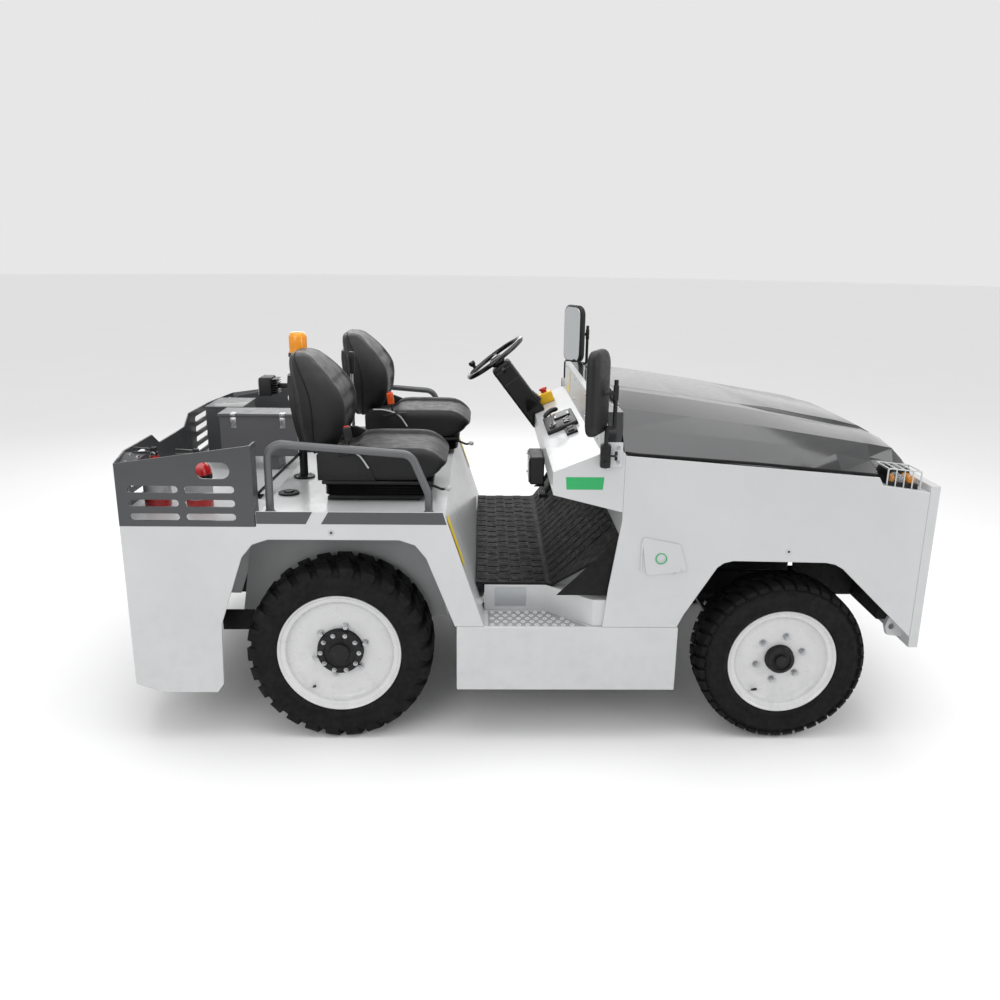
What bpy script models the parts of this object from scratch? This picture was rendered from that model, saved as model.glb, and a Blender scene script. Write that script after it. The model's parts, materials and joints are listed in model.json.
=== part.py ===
"""Airport baggage tug: an electric tow tractor with two seats, a slotted rear cage and a wedge hood.

Metres, +X to the front, +Y to the driver's side, +Z up. The origin is on the ground, at the middle
of the length and the width. Each object is one piece of the tug, and an empty marks each joint.
"""

import math

import bmesh
import bpy
from mathutils import Matrix, Vector

# Overall sizes
WIDTH = 1.80
FRONT_X = 1.775
REAR_X = -1.655
FRONT_AXLE_X = 1.206
REAR_AXLE_X = -0.718
HALF = WIDTH / 2
GAP = 0.0003          # between pieces that rest on each other
SHEET = 0.010         # body panels

# Wheels
FRONT_TYRE_R = 0.369
REAR_TYRE_R = 0.403
FRONT_FLANGE_R = 0.239
REAR_FLANGE_R = 0.268
FRONT_TYRE_W = 0.220
REAR_TYRE_W = 0.240
FRONT_HUB_R = 0.060
REAR_HUB_R = 0.097
WHEEL_FACE_Y = HALF - 0.020
BEAD = 0.018          # height of a rim flange above its bead seat
FLANGE_IN = 0.010     # how far a flange lies inside the sidewall
FLANGE_W = 0.014
BARREL = 0.012        # wall of the rim
DISC_IN = 0.055       # how far the wheel disc lies inside the sidewall
HUB_OUT = 0.042       # how far the hub stands out of the disc
WHEEL_STEPS = 36

# Frame and axles. The rails lie over the rear axle, and the floor and the deck follow them.
BEAM_R = 0.060
CASE_R = 0.150
RAIL_IN = 0.32
RAIL_OUT = 0.40
RAIL_H = 0.12
RAIL_LOW_Z = REAR_TYRE_R + 0.097
RAIL_TOP_Z = RAIL_LOW_Z + RAIL_H
KINGPIN_Y = WHEEL_FACE_Y - FRONT_TYRE_W - 0.060
KINGPIN_R = 0.045
KINGPIN_LENGTH = 0.14
EAR = 0.030
STEER_ARM = 0.16
ARM_H = 0.022
BUMPER = 0.040
BUMPER_LOW_Z = 0.456
BUMPER_TOP_Z = 1.175
BATTERY = (0.80, 0.80, 0.52)
BATTERY_X = 0.56

# Heights
SILL_Z = 0.545        # top of the side steps
STEP_BOTTOM_Z = 0.250
BODY_BOTTOM_Z = 0.235
FLOOR_Z = RAIL_TOP_Z + 0.044
FLOOR_SHEET = 0.012
MAT = 0.012
REAR_ARCH_Z = 2 * REAR_TYRE_R + 0.123
FRONT_ARCH_Z = 2 * FRONT_TYRE_R + 0.108
DECK_Z = REAR_ARCH_Z + 0.101
RIM_Z = DECK_Z + 0.020         # upstand of the sides round the deck
CAGE_FLOOR_Z = DECK_Z - 0.045

# Rear body and cage
CORNER_X = REAR_X + 0.070      # the rear corners are chamfered in plan
CORNER_Y = HALF - 0.290
CAGE_FRONT_X = -1.035
CAGE_SHEET = 0.008
CAGE_SIDE_H = (0.261, 0.339)   # at the rear corner and at the front edge
CAGE_REAR_H = 0.250
CAGE_NOTCH_H = 0.195
CAGE_NOTCH_Y = (0.19, 0.28)
CAGE_RETURN = 0.080            # flange turned in at the front edges
SLOT_H = 0.030
SLOT_PITCH = 0.058
RISER_X = REAR_AXLE_X + 0.623  # slanted front edge of the rear body, at the sill
RISER_LEAN = -0.334
WELL_IN = WHEEL_FACE_Y - REAR_TYRE_W - 0.040
TOOLBOX_LOW = (-1.429, 0.060, 1.057 - 0.985)
TOOLBOX_SIZE = (0.386, 0.165, 0.205)
TOOLBOX_WALL = 0.006
LID = 0.014
LID_LIP = 0.008
EXTINGUISHER_R = 0.058
POLE_BACK = 0.6953             # from the front of the passenger's seat to the pole
POLE_IN = 0.0352               # from the inner rear corner of that seat's back to the pole
POLE_BESIDE = 0.72             # how far out that corner lies, as a share of half the seat
POLE_R = 0.019
POLE_H = 0.568

# Cab
STEP_IN = HALF - 0.183         # depth of the step recess
STEP_CORNER_X = 0.175
STEP_FRONT_X = 0.365
BULKHEAD_X = 0.470
TOE_X = 0.200
TOE_TOP_Z = 0.930
BOARD_X = 0.375
BOARD = 0.030
BOARD_Y = HALF - 0.090
BOARD_TOP_Z = 1.460
DASH_NOSE = (0.180, 1.223)
DASH_TOP = (BOARD_X - GAP, 1.304)
DASH_LOW = (0.183, 1.128)
DASH_LOW_REAR_Z = 1.056
WHEEL_HUB = (-0.041, 0.46, 1.518)
COLUMN_LEAN = math.radians(37.4)
COLUMN = (0.11, 0.12)
WHEEL_R = 0.185
GRIP_R = 0.013
SEAT_Y = 0.46
SEAT_W = 0.48
SEAT_SET = 0.005               # how far a seat stands out in front of the riser's top
BACK_NARROW = 0.6              # width of a seat back's rear as a share of its front
SEAT_BASE_H = 0.095
CUSHION_H = 0.145
BACK_H = 0.430
PEDAL_Y = (0.34, 0.58)
PEDAL_LIFT = 0.116

# Hood and front body
HOOD_REAR_X = BULKHEAD_X
HOOD_NOSE_X = FRONT_X - BUMPER - 0.005
HOOD_SHEET = 0.008
HOOD_HINGE_Z = 1.472
SHELF_X = FRONT_X - 0.240      # rear end of the shelf behind the bumper
SHELF_REAR_Z = 1.177
SHELF_FRONT_Z = 1.149
HEADLIGHT_Y = HALF - 0.078
HEADLIGHT_W = 0.110
FLAP_HINGE = (FRONT_AXLE_X - 0.651, 0.865)
FLAP = ((0, 0.086), (0.163, 0.054), (0.200, -0.064), (0.027, -0.084))
FLAP_SHEET = 0.005
MIRROR = (0.045, 0.19, 0.335)
MIRROR_TURN = math.radians(26)


def clear_scene():
    for obj in list(bpy.data.objects):
        bpy.data.objects.remove(obj, do_unlink=True)


def new_collection(name):
    collection = bpy.data.collections.new(name)
    bpy.context.scene.collection.children.link(collection)
    return collection


def paint(name, rgb, roughness=0.45, metallic=0.0):
    """A Principled BSDF material of one colour."""
    material = bpy.data.materials.new(name)
    material.use_nodes = True
    shader = material.node_tree.nodes["Principled BSDF"]
    shader.inputs["Base Color"].default_value = (*rgb, 1.0)
    shader.inputs["Roughness"].default_value = roughness
    shader.inputs["Metallic"].default_value = metallic
    material.diffuse_color = (*rgb, 1.0)
    return material


def helper(mesh, matrix=None):
    """An object in the cutters collection. node() makes it a piece of the tug."""
    obj = bpy.data.objects.new("shape", mesh)
    cutters.objects.link(obj)
    obj.hide_render = True
    obj.display_type = "WIRE"
    if matrix:
        obj.matrix_world = matrix
    return obj


def node(name, shape, material, parent=None):
    """Names a shape and makes it a piece of the tug, carried by an empty if one is given."""
    cutters.objects.unlink(shape)
    tug.objects.link(shape)
    shape.hide_render = False
    shape.display_type = "TEXTURED"
    shape.name = name
    shape.data.name = name
    shape.data.materials.clear()
    shape.data.materials.append(material)
    if parent:
        bpy.context.view_layer.update()
        shape.parent = parent
        shape.matrix_parent_inverse = parent.matrix_world.inverted()
    return shape


def pivot(name, place, parent=None):
    """An empty on a joint's axis."""
    empty = bpy.data.objects.new(name, None)
    tug.objects.link(empty)
    empty.location = place
    empty.empty_display_size = 0.1
    bpy.context.view_layer.update()
    if parent:
        empty.parent = parent
        empty.matrix_parent_inverse = parent.matrix_world.inverted()
        bpy.context.view_layer.update()
    return empty


def boolean(base, operation, others):
    for other in others:
        modifier = base.modifiers.new(operation.lower(), "BOOLEAN")
        modifier.operation = operation
        modifier.object = other
    return base


def joined(base, *others):
    return boolean(base, "UNION", others)


def cut(base, *others):
    return boolean(base, "DIFFERENCE", others)


def box(low, high):
    work = bmesh.new()
    bmesh.ops.create_cube(work, size=1.0)
    size = [b - a for a, b in zip(low, high)]
    bmesh.ops.scale(work, vec=size, verts=work.verts)
    mesh = bpy.data.meshes.new("box")
    work.to_mesh(mesh)
    work.free()
    centre = [(a + b) / 2 for a, b in zip(low, high)]
    return helper(mesh, Matrix.Translation(centre))


def turn_to(axis):
    """The rotation that takes +Z to the axis."""
    return Vector((0, 0, 1)).rotation_difference(Vector(axis)).to_matrix().to_4x4()


def cylinder(centre, radius, length, axis=(0, 0, 1), steps=24, top_radius=None):
    work = bmesh.new()
    top = radius if top_radius is None else top_radius
    bmesh.ops.create_cone(
        work, cap_ends=True, segments=steps, radius1=radius, radius2=top, depth=length
    )
    mesh = bpy.data.meshes.new("cylinder")
    work.to_mesh(mesh)
    work.free()
    mesh.shade_smooth()
    mesh.set_sharp_from_angle(angle=math.radians(40))
    return helper(mesh, Matrix.Translation(centre) @ turn_to(axis))


def turned(profile, steps, closed=False):
    """A profile of (radius, height) points turned about Z."""
    count = len(profile)
    edges = [(i, i + 1) for i in range(count - 1)] + ([(count - 1, 0)] if closed else [])
    mesh = bpy.data.meshes.new("profile")
    mesh.from_pydata([(r, 0, z) for r, z in profile], edges, [])
    obj = helper(mesh)
    screw = obj.modifiers.new("turn", "SCREW")
    screw.steps = steps
    screw.render_steps = steps
    screw.use_merge_vertices = True
    screw.merge_threshold = 0.00001
    return obj


def as_mesh(curve_object):
    """Replaces a curve object by its mesh, with the caps welded on."""
    bpy.context.view_layer.update()
    graph = bpy.context.evaluated_depsgraph_get()
    mesh = bpy.data.meshes.new_from_object(curve_object.evaluated_get(graph))
    work = bmesh.new()
    work.from_mesh(mesh)
    bmesh.ops.remove_doubles(work, verts=work.verts, dist=0.00001)
    bmesh.ops.recalc_face_normals(work, faces=work.faces)
    work.to_mesh(mesh)
    work.free()
    matrix = curve_object.matrix_world.copy()
    bpy.data.objects.remove(curve_object, do_unlink=True)
    return helper(mesh, matrix)


def curve(points, dimensions, cyclic):
    data = bpy.data.curves.new("line", "CURVE")
    data.dimensions = dimensions
    spline = data.splines.new("POLY")
    spline.points.add(len(points) - 1)
    for point, place in zip(spline.points, points):
        point.co = (*place, 0.0, 1.0) if len(place) == 2 else (*place, 1.0)
    spline.use_cyclic_u = cyclic
    obj = bpy.data.objects.new("line", data)
    cutters.objects.link(obj)
    return obj


PLANES = {
    "XY": Matrix(((1, 0, 0), (0, 1, 0), (0, 0, 1))),
    "XZ": Matrix(((1, 0, 0), (0, 0, -1), (0, 1, 0))),
    "YZ": Matrix(((0, 0, 1), (1, 0, 0), (0, 1, 0))),
}


def plate(points, low, high, plane):
    """A flat outline in a plane, as a plate that runs from low to high along the plane's normal."""
    obj = curve(points, "2D", True)
    obj.data.fill_mode = "BOTH"
    obj.data.extrude = (high - low) / 2
    normal = {"XY": (0, 0, 1), "XZ": (0, 1, 0), "YZ": (1, 0, 0)}[plane]
    obj.matrix_world = Matrix.Translation(
        Vector(normal) * (low + high) / 2
    ) @ PLANES[plane].to_4x4()
    return as_mesh(obj)


def rounded(points, radius, steps=4, closed=True):
    """The points with each corner replaced by an arc of the radius."""
    points = [Vector(p) for p in points]
    result = []
    last = len(points) - 1
    for i, corner in enumerate(points):
        if not closed and i in (0, last):
            result.append(tuple(corner))
            continue
        before = points[i - 1] - corner
        after = points[(i + 1) % len(points)] - corner
        half = before.angle(after) / 2
        reach = min(radius / math.tan(half), before.length * 0.49, after.length * 0.49)
        start = corner + before.normalized() * reach
        end = corner + after.normalized() * reach
        middle = (before.normalized() + after.normalized()).normalized()
        centre = corner + middle * reach / math.cos(half)
        arm = (start - centre).length
        for step in range(steps + 1):
            mix = (start - centre).lerp(end - centre, step / steps)
            result.append(tuple(centre + mix.normalized() * arm))
    return result


def tube(points, radius, bend=0.05, sides=2):
    obj = curve(rounded(points, bend, 5, closed=False), "3D", False)
    obj.data.bevel_depth = radius
    obj.data.bevel_resolution = sides
    obj.data.use_fill_caps = True
    return as_mesh(obj)


def slot(centre, length, height, low, high, plane):
    """A cutter with round ends, along the first axis of the plane."""
    a, b = centre
    r = height / 2
    corners = [(a - length / 2, b - r), (a + length / 2, b - r)]
    corners += [(a + length / 2, b + r), (a - length / 2, b + r)]
    return plate(rounded(corners, r * 0.99, 5), low, high, plane)


def riser_x(z):
    """Where the slanted front of the rear body lies at a height."""
    return RISER_X + (z - SILL_Z) * RISER_LEAN


def both(x, y_low, y_high, z):
    """The same box on each side: x, z are (low, high), and y runs outwards."""
    return [
        box((x[0], min(s * y_low, s * y_high), z[0]), (x[1], max(s * y_low, s * y_high), z[1]))
        for s in (1, -1)
    ]


def block(size):
    """A box of this size about the origin, to be placed by its matrix."""
    return box([-s / 2 for s in size], [s / 2 for s in size])


# ---- wheels ----------------------------------------------------------------


def wheel_profiles(radius, flange, width, hub):
    """The closed outline of the tyre and the outline of the rim, from the hub out and back."""
    w = width / 2
    seat = flange - BEAD
    inner = w - FLANGE_IN - FLANGE_W - GAP
    side = [
        (seat, inner),
        (flange + GAP * 2, inner),
        (flange + GAP * 2, w - FLANGE_IN * 0.8),
        (flange + 0.030, w),
        (radius - 0.050, w),
        (radius - 0.012, w - 0.012),
        (radius, w - 0.035),
    ]
    tyre = side + [(r, -z) for r, z in reversed(side)]
    disc = w - DISC_IN
    barrel = seat - BARREL
    low = seat - GAP
    out = w - FLANGE_IN
    rim = [
        (0, disc + HUB_OUT),
        (hub - 0.008, disc + HUB_OUT),
        (hub, disc + HUB_OUT - 0.008),
        (hub, disc),
        (barrel - 0.030, disc),
        (barrel, disc + 0.020),
        (barrel, out - 0.006),
        (flange - 0.004, out),
        (flange, out - 0.004),
        (flange, out - FLANGE_W),
        (low, out - FLANGE_W),
        (low, FLANGE_W - out),
        (flange, FLANGE_W - out),
        (flange, -out),
        (barrel, -out),
        (barrel, disc - 0.010),
        (barrel - 0.030, disc - BARREL),
        (0, disc - BARREL),
    ]
    return tyre, rim


def wheel(end, side, radius, flange, width, hub, parent=None):
    x = FRONT_AXLE_X if end == "front" else REAR_AXLE_X
    name = f"{end}_{'left' if side > 0 else 'right'}"
    centre = (x, side * (WHEEL_FACE_Y - width / 2), radius)
    axis = pivot(f"{name}_wheel_axis", centre, parent)
    tyre, rim = wheel_profiles(radius, flange, width, hub)
    place = Matrix.Translation(centre) @ turn_to((0, side, 0))
    for part, profile, closed, material in (
        ("tyre", tyre, True, rubber),
        ("rim", rim, False, white),
    ):
        shape = turned(profile, WHEEL_STEPS, closed)
        shape.matrix_world = place
        node(f"{name}_{part}", shape, material, axis)


# ---- frame and axles -------------------------------------------------------


def chassis_frame():
    """Two rails with cross members, and inner panels ahead of the front axle."""
    rear = REAR_X + SHEET + GAP
    front = FRONT_X - BUMPER - GAP
    rails = both((rear, front), RAIL_IN, RAIL_OUT, (RAIL_LOW_Z, RAIL_TOP_Z))
    top = FLOOR_Z - FLOOR_SHEET - GAP
    middle = RAIL_IN + 0.02
    low = RAIL_LOW_Z + 0.02
    crosses = [
        box((rear, -middle, RAIL_LOW_Z), (rear + 0.08, middle, RAIL_TOP_Z)),
        box((RISER_X + 0.115, -RAIL_OUT, low), (RISER_X + 0.195, RAIL_OUT, top)),
        box((BULKHEAD_X - 0.11, -RAIL_OUT, low), (BULKHEAD_X - 0.03, RAIL_OUT, top)),
        box((front - 0.06, -0.70, RAIL_LOW_Z), (front, 0.70, RAIL_TOP_Z)),
    ]
    start = BATTERY_X + BATTERY[0] + 0.02
    end = front - SHEET - GAP
    panels = both((start, end), RAIL_OUT - SHEET, RAIL_OUT, (RAIL_LOW_Z, FRONT_ARCH_Z))
    return node("chassis_frame", joined(rails[0], rails[1], *crosses, *panels), black)


def axle_pads(x, low):
    """Seats of an axle under the rails."""
    inset = 0.005
    top = RAIL_LOW_Z - GAP
    return both((x - 0.06, x + 0.06), RAIL_IN + inset, RAIL_OUT - inset, (low, top))


def rear_axle():
    z = REAR_TYRE_R
    end = WHEEL_FACE_Y - DISC_IN - BARREL - GAP
    across = (0, 1, 0)
    drum_w = 0.11
    beam = cylinder((REAR_AXLE_X, 0, z), BEAM_R, 2 * end, across)
    drums = [
        cylinder((REAR_AXLE_X, s * (end - drum_w / 2 - 0.02), z), CASE_R, drum_w, across)
        for s in (1, -1)
    ]
    case = cylinder((REAR_AXLE_X, 0, z), CASE_R, 0.26, across)
    motor = cylinder((REAR_AXLE_X + 0.28, 0, z + 0.02), 0.125, 0.44, (1, 0, 0))
    pads = axle_pads(REAR_AXLE_X, z)
    return node("rear_axle", joined(beam, *drums, case, motor, *pads), black)


def front_axle():
    z = FRONT_TYRE_R
    r = KINGPIN_R
    beam = box((FRONT_AXLE_X - r, -KINGPIN_Y, z - r), (FRONT_AXLE_X + r, KINGPIN_Y, z + r))
    barrels = [
        cylinder((FRONT_AXLE_X, s * KINGPIN_Y, z), r, KINGPIN_LENGTH) for s in (1, -1)
    ]
    return node("front_axle", joined(beam, *barrels, *axle_pads(FRONT_AXLE_X, z)), black)


def knuckle(side, parent):
    """Two ears over and under the axle's barrel, a web, the stub axle and the steering arm."""
    z = FRONT_TYRE_R
    y = side * KINGPIN_Y
    half = KINGPIN_LENGTH / 2
    ear_r = KINGPIN_R - 0.003
    web_in = side * (KINGPIN_Y + KINGPIN_R + 0.012)
    web_out = side * (KINGPIN_Y + KINGPIN_R + 0.032)
    web = box(
        (FRONT_AXLE_X - 0.05, min(web_in, web_out), z - half - EAR),
        (FRONT_AXLE_X + 0.05, max(web_in, web_out), z + half + EAR),
    )
    ears = []
    for low in (z + half + GAP, z - half - GAP - EAR):
        ears.append(cylinder((FRONT_AXLE_X, y, low + EAR / 2), ear_r, EAR))
        reach = web_out - side * 0.005
        ears.append(
            box(
                (FRONT_AXLE_X - ear_r, min(y, reach), low),
                (FRONT_AXLE_X + ear_r, max(y, reach), low + EAR),
            )
        )
    end = WHEEL_FACE_Y - DISC_IN - BARREL - GAP
    start = KINGPIN_Y + KINGPIN_R + 0.020
    stub = cylinder(
        (FRONT_AXLE_X, side * (start + end) / 2, z), 0.035, end - start, (0, 1, 0)
    )
    low = z - half - GAP - EAR
    arm = box(
        (FRONT_AXLE_X - STEER_ARM, y - 0.022, low), (FRONT_AXLE_X, y + 0.022, low + ARM_H)
    )
    boss = cylinder((FRONT_AXLE_X - STEER_ARM, y, low + ARM_H / 2), 0.028, ARM_H)
    name = "left" if side > 0 else "right"
    return node(f"{name}_knuckle", joined(web, *ears, stub, arm, boss), black, parent)


def tie_rod(parent):
    """A rod between two ball ends, which rest on the steering arms."""
    top = FRONT_TYRE_R - KINGPIN_LENGTH / 2 - EAR + ARM_H
    end_h = 0.030
    x = FRONT_AXLE_X - STEER_ARM
    z = top + end_h / 2
    rod = cylinder((x, 0, z), 0.012, 2 * KINGPIN_Y, (0, 1, 0), 12)
    ends = [cylinder((x, s * KINGPIN_Y, z), 0.022, end_h - 2 * GAP) for s in (1, -1)]
    return node("tie_rod", joined(rod, *ends), steel, parent)


def battery():
    low = RAIL_TOP_Z + GAP
    length, width, height = BATTERY
    shape = box((BATTERY_X, -width / 2, low), (BATTERY_X + length, width / 2, low + height))
    return node("battery_block", shape, black)


# ---- rear body -------------------------------------------------------------


def rear_side():
    """The side of the rear body: its wheel arch, the riser and the rim round the deck."""
    axle = REAR_AXLE_X
    arch = REAR_ARCH_Z
    sill = SILL_Z + GAP
    step = CAGE_FRONT_X + 0.004
    return [
        (REAR_X, CAGE_FLOOR_Z),
        (REAR_X, BODY_BOTTOM_Z + 0.065),
        (CORNER_X + 0.110, BODY_BOTTOM_Z),
        (axle - 0.522, BODY_BOTTOM_Z),
        (axle - 0.494, BODY_BOTTOM_Z + 0.040),
        (axle - 0.484, arch - 0.379),
        (axle - 0.382, arch - 0.079),
        (axle - 0.335, arch - 0.022),
        (axle - 0.270, arch),
        (axle + 0.270, arch),
        (axle + 0.335, arch - 0.022),
        (axle + 0.380, arch - 0.079),
        (axle + 0.499, sill),
        (riser_x(sill), sill),
        (riser_x(RIM_Z), RIM_Z),
        (step, RIM_Z),
        (step, CAGE_FLOOR_Z),
    ]


def rear_plan(inset, front=CAGE_FRONT_X):
    """The rear body in plan, set in by a wall's thickness."""
    x = REAR_X + inset
    y = HALF - inset
    chamfer = inset * 0.4
    right = [(front, -y), (CORNER_X + chamfer, -y), (x, -CORNER_Y + chamfer)]
    return right + [(x, -y) for x, y in reversed(right)]


def rear_body():
    """Side panels, rear panel, deck, slanted seat riser and wheel housings, open below."""
    shell = boolean(
        plate(rear_side(), -HALF, HALF, "XZ"), "INTERSECT", [plate(rear_plan(0, 1), 0, 2, "XY")]
    )
    inner = HALF - SHEET
    lean = SHEET * 1.2
    under = [
        (REAR_X - 1, 0),
        (REAR_X - 1, CAGE_FLOOR_Z - SHEET),
        (CAGE_FRONT_X + SHEET, CAGE_FLOOR_Z - SHEET),
        (CAGE_FRONT_X + SHEET, DECK_Z - SHEET),
        (riser_x(DECK_Z - SHEET) - lean, DECK_Z - SHEET),
        (riser_x(0) - lean, 0),
    ]
    void = boolean(
        plate(under, -2, 2, "XZ"), "INTERSECT", [plate(rear_plan(SHEET, 1), -1, 3, "XY")]
    )
    walls = both((-3, 3), WELL_IN - SHEET, WELL_IN, (RAIL_LOW_Z + 0.075, 3))
    recess = box((-2, -inner, DECK_Z), (1, inner, 2))
    rails = box((-1, -RAIL_OUT - 0.05, 0), (0, RAIL_OUT + 0.05, RAIL_TOP_Z + GAP))
    return node("rear_body", cut(shell, cut(void, *walls), recess, rails), white)


def rear_cage():
    """Slotted sides and rear panel round the load floor, open in front and above."""
    floor = CAGE_FLOOR_Z
    top = floor + max(CAGE_SIDE_H) + 0.02
    shell = plate(rear_plan(0), floor + GAP, top, "XY")
    inner = plate(rear_plan(CAGE_SHEET, CAGE_FRONT_X - CAGE_SHEET), 0, 2, "XY")
    mouth = HALF - CAGE_RETURN
    front = box((CAGE_FRONT_X - 0.1, -mouth, 0), (CAGE_FRONT_X + 0.1, mouth, 2))
    x0 = CORNER_X - 0.001
    z0, z1 = floor + CAGE_SIDE_H[0], floor + CAGE_SIDE_H[1]
    side_top = [(x0, z0), (CAGE_FRONT_X, z1), (CAGE_FRONT_X + 0.1, z1)]
    side_top += [(CAGE_FRONT_X + 0.1, 2), (x0, 2)]
    rear_z = floor + CAGE_REAR_H
    notch_z = floor + CAGE_NOTCH_H
    half_top = [(CAGE_NOTCH_Y[0], notch_z), (CAGE_NOTCH_Y[1], rear_z), (CORNER_Y, rear_z)]
    half_top += [(HALF, z0), (HALF + 0.1, z0), (HALF + 0.1, 2)]
    rear_top = half_top + [(-y, z) for y, z in reversed(half_top)]
    tops = [
        plate(side_top, -2, 2, "XZ"),
        plate(rear_top, REAR_X - 0.1, CORNER_X + 0.0005, "YZ"),
    ]
    slots = []
    for row in range(3):
        z = floor + 0.156 - row * SLOT_PITCH
        for x in (CAGE_FRONT_X - 0.4025, CAGE_FRONT_X - 0.1755):
            slots.append(slot((x, z), 0.202, SLOT_H, -2, 2, "XZ"))
    slots.append(slot((CAGE_FRONT_X - 0.157, floor + 0.235), 0.137, 0.068, -2, 2, "XZ"))
    for row in range(4):
        z = floor + 0.200 - row * (SLOT_PITCH - 0.003)
        for side in (1, -1):
            centre = (side * (CORNER_Y - 0.135), z)
            slots.append(slot(centre, 0.220, SLOT_H, REAR_X - 0.1, CORNER_X - 0.02, "YZ"))
    wall = CAGE_SHEET / 2
    corner = [
        (REAR_X + wall, -CORNER_Y),
        (REAR_X + 0.110, -CORNER_Y),
        (REAR_X + 0.110, -HALF + wall),
        (CORNER_X + wall, -HALF + wall),
    ]
    shelf_low = rear_z - 0.014
    shelves = [
        plate([(x, s * y) for x, y in corner], shelf_low, shelf_low + 0.006, "XY") for s in (1, -1)
    ]
    shape = joined(cut(shell, inner, front, *tops, *slots), *shelves)
    return node("rear_cage", shape, dark_grey)


def tow_hitch():
    """A towing jaw: two plates on a back plate, with a pin through them."""
    x = REAR_X - GAP
    back = box((x - 0.020, -0.14, 0.33), (x, 0.14, 0.60))
    jaws = [box((x - 0.120, -0.08, z), (x, 0.08, z + 0.025)) for z in (0.385, 0.485)]
    hole = cylinder((x - 0.075, 0, 0.45), 0.0165, 0.4, steps=20)
    return node("tow_hitch", cut(joined(back, *jaws), hole), black)


def tow_pin(parent):
    x = REAR_X - GAP - 0.075
    pin = cylinder((x, 0, 0.450), 0.016, 0.20, steps=20)
    head = cylinder((x, 0, 0.5103 + 0.010), 0.028, 0.020, steps=20)
    return node("tow_pin", joined(pin, head), steel, parent)


def toolbox_corners():
    x, y, lift = TOOLBOX_LOW
    length, width, height = TOOLBOX_SIZE
    z = CAGE_FLOOR_Z + lift
    return (x, y, z), (x + length, y + width, z + height)


def toolbox(parent):
    """An open box on two legs, with a lid hinged along its right edge."""
    (x0, y0, z0), (x1, y1, z1) = toolbox_corners()
    wall = TOOLBOX_WALL
    shell = box((x0, y0, z0), (x1, y1, z1))
    inside = box((x0 + wall, y0 + wall, z0 + wall), (x1 - wall, y1 - wall, z1 + 1))
    legs = [
        box((x, y0 + 0.01, CAGE_FLOOR_Z + GAP), (x + 0.04, y1 - 0.01, z0 + wall / 2))
        for x in (x0 + 0.03, x1 - 0.14)
    ]
    node("toolbox", cut(joined(shell, *legs), inside), grey)
    low = (x0 - LID_LIP, y0 - LID_LIP, z1 + GAP)
    high = (x1 + LID_LIP, y1 + LID_LIP, z1 + LID)
    return node("toolbox_lid", box(low, high), grey, parent)


def rear_locker():
    """A closed steel box in the left rear corner of the cage."""
    (x0, _, _), (_, y1, _) = toolbox_corners()
    low = (x0 - 0.131, y1 + 0.055, CAGE_FLOOR_Z + GAP)
    high = (x0 + 0.059, y1 + 0.335, CAGE_FLOOR_Z + CAGE_REAR_H + 0.03)
    return node("rear_locker", box(low, high), dark_grey)


def fire_extinguisher(name, x, y, handle):
    """A bottle with a neck, a valve and a lever that points along handle."""
    low = CAGE_FLOOR_Z + GAP
    r = EXTINGUISHER_R
    bottle = cylinder((x, y, low + 0.095), r, 0.19, steps=24)
    shoulder = cylinder((x, y, low + 0.205), r, 0.04, steps=24, top_radius=0.018)
    neck = cylinder((x, y, low + 0.235), 0.018, 0.05, steps=12)
    ends = sorted((x - handle * 0.02, x + handle * 0.095))
    lever = box((ends[0], y - 0.012, low + 0.245), (ends[1], y + 0.012, low + 0.272))
    return node(name, joined(bottle, shoulder, neck, lever), red)


def pole_place():
    """The pole stands behind the passenger's seat, on its inner side."""
    corner = SEAT_Y - POLE_BESIDE * SEAT_W / 2
    return riser_x(RIM_Z) + SEAT_SET - POLE_BACK, POLE_IN - corner


def beacon_pole():
    """A post with a foot flange and a flat brace down to the load floor, and the beacon on it."""
    x, y = pole_place()
    top = DECK_Z + POLE_H
    low = DECK_Z + GAP
    flange = cylinder((x, y, low + 0.004), 0.050, 0.008)
    post = cylinder((x, y, (low + top) / 2), POLE_R, top - low)
    start = Vector((x - POLE_R * 0.6, y - POLE_R * 0.6, DECK_Z + 0.12))
    end = Vector((CAGE_FRONT_X - 0.105, y - 0.197, CAGE_FLOOR_Z + GAP + 0.006))
    run = end - start
    bar = block((0.036, 0.006, run.length))
    bar.matrix_world = Matrix.Translation((start + end) / 2) @ turn_to(run)
    foot = box((end.x - 0.03, end.y - 0.03, CAGE_FLOOR_Z + GAP), (end.x + 0.03, end.y + 0.03, end.z))
    under = box((-3, -1, 0), (3, 1, CAGE_FLOOR_Z + GAP))
    node("beacon_pole", joined(post, flange, cut(bar, under), foot), black)
    base = cylinder((x, y, top + GAP + 0.012), 0.046, 0.024)
    dome = cylinder((x, y, top + 0.070), 0.042, 0.095, top_radius=0.036)
    return node("beacon", joined(base, dome), amber)


def work_light():
    """A lamp housing that faces the rear, on an arm from the beacon's pole."""
    x, y = pole_place()
    z = DECK_Z + 0.437
    rear = x - 0.181
    housing = box((rear, y - 0.055, z - 0.043), (rear + 0.060, y + 0.055, z + 0.043))
    fins = box((rear + 0.055, y - 0.040, z - 0.033), (rear + 0.085, y + 0.040, z + 0.033))
    start = x - POLE_R - GAP
    arm = box((rear + 0.080, y - 0.006, z - 0.012), (start, y + 0.006, z + 0.012))
    return node("work_light", joined(housing, fins, arm), black)


# ---- cab -------------------------------------------------------------------


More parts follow.
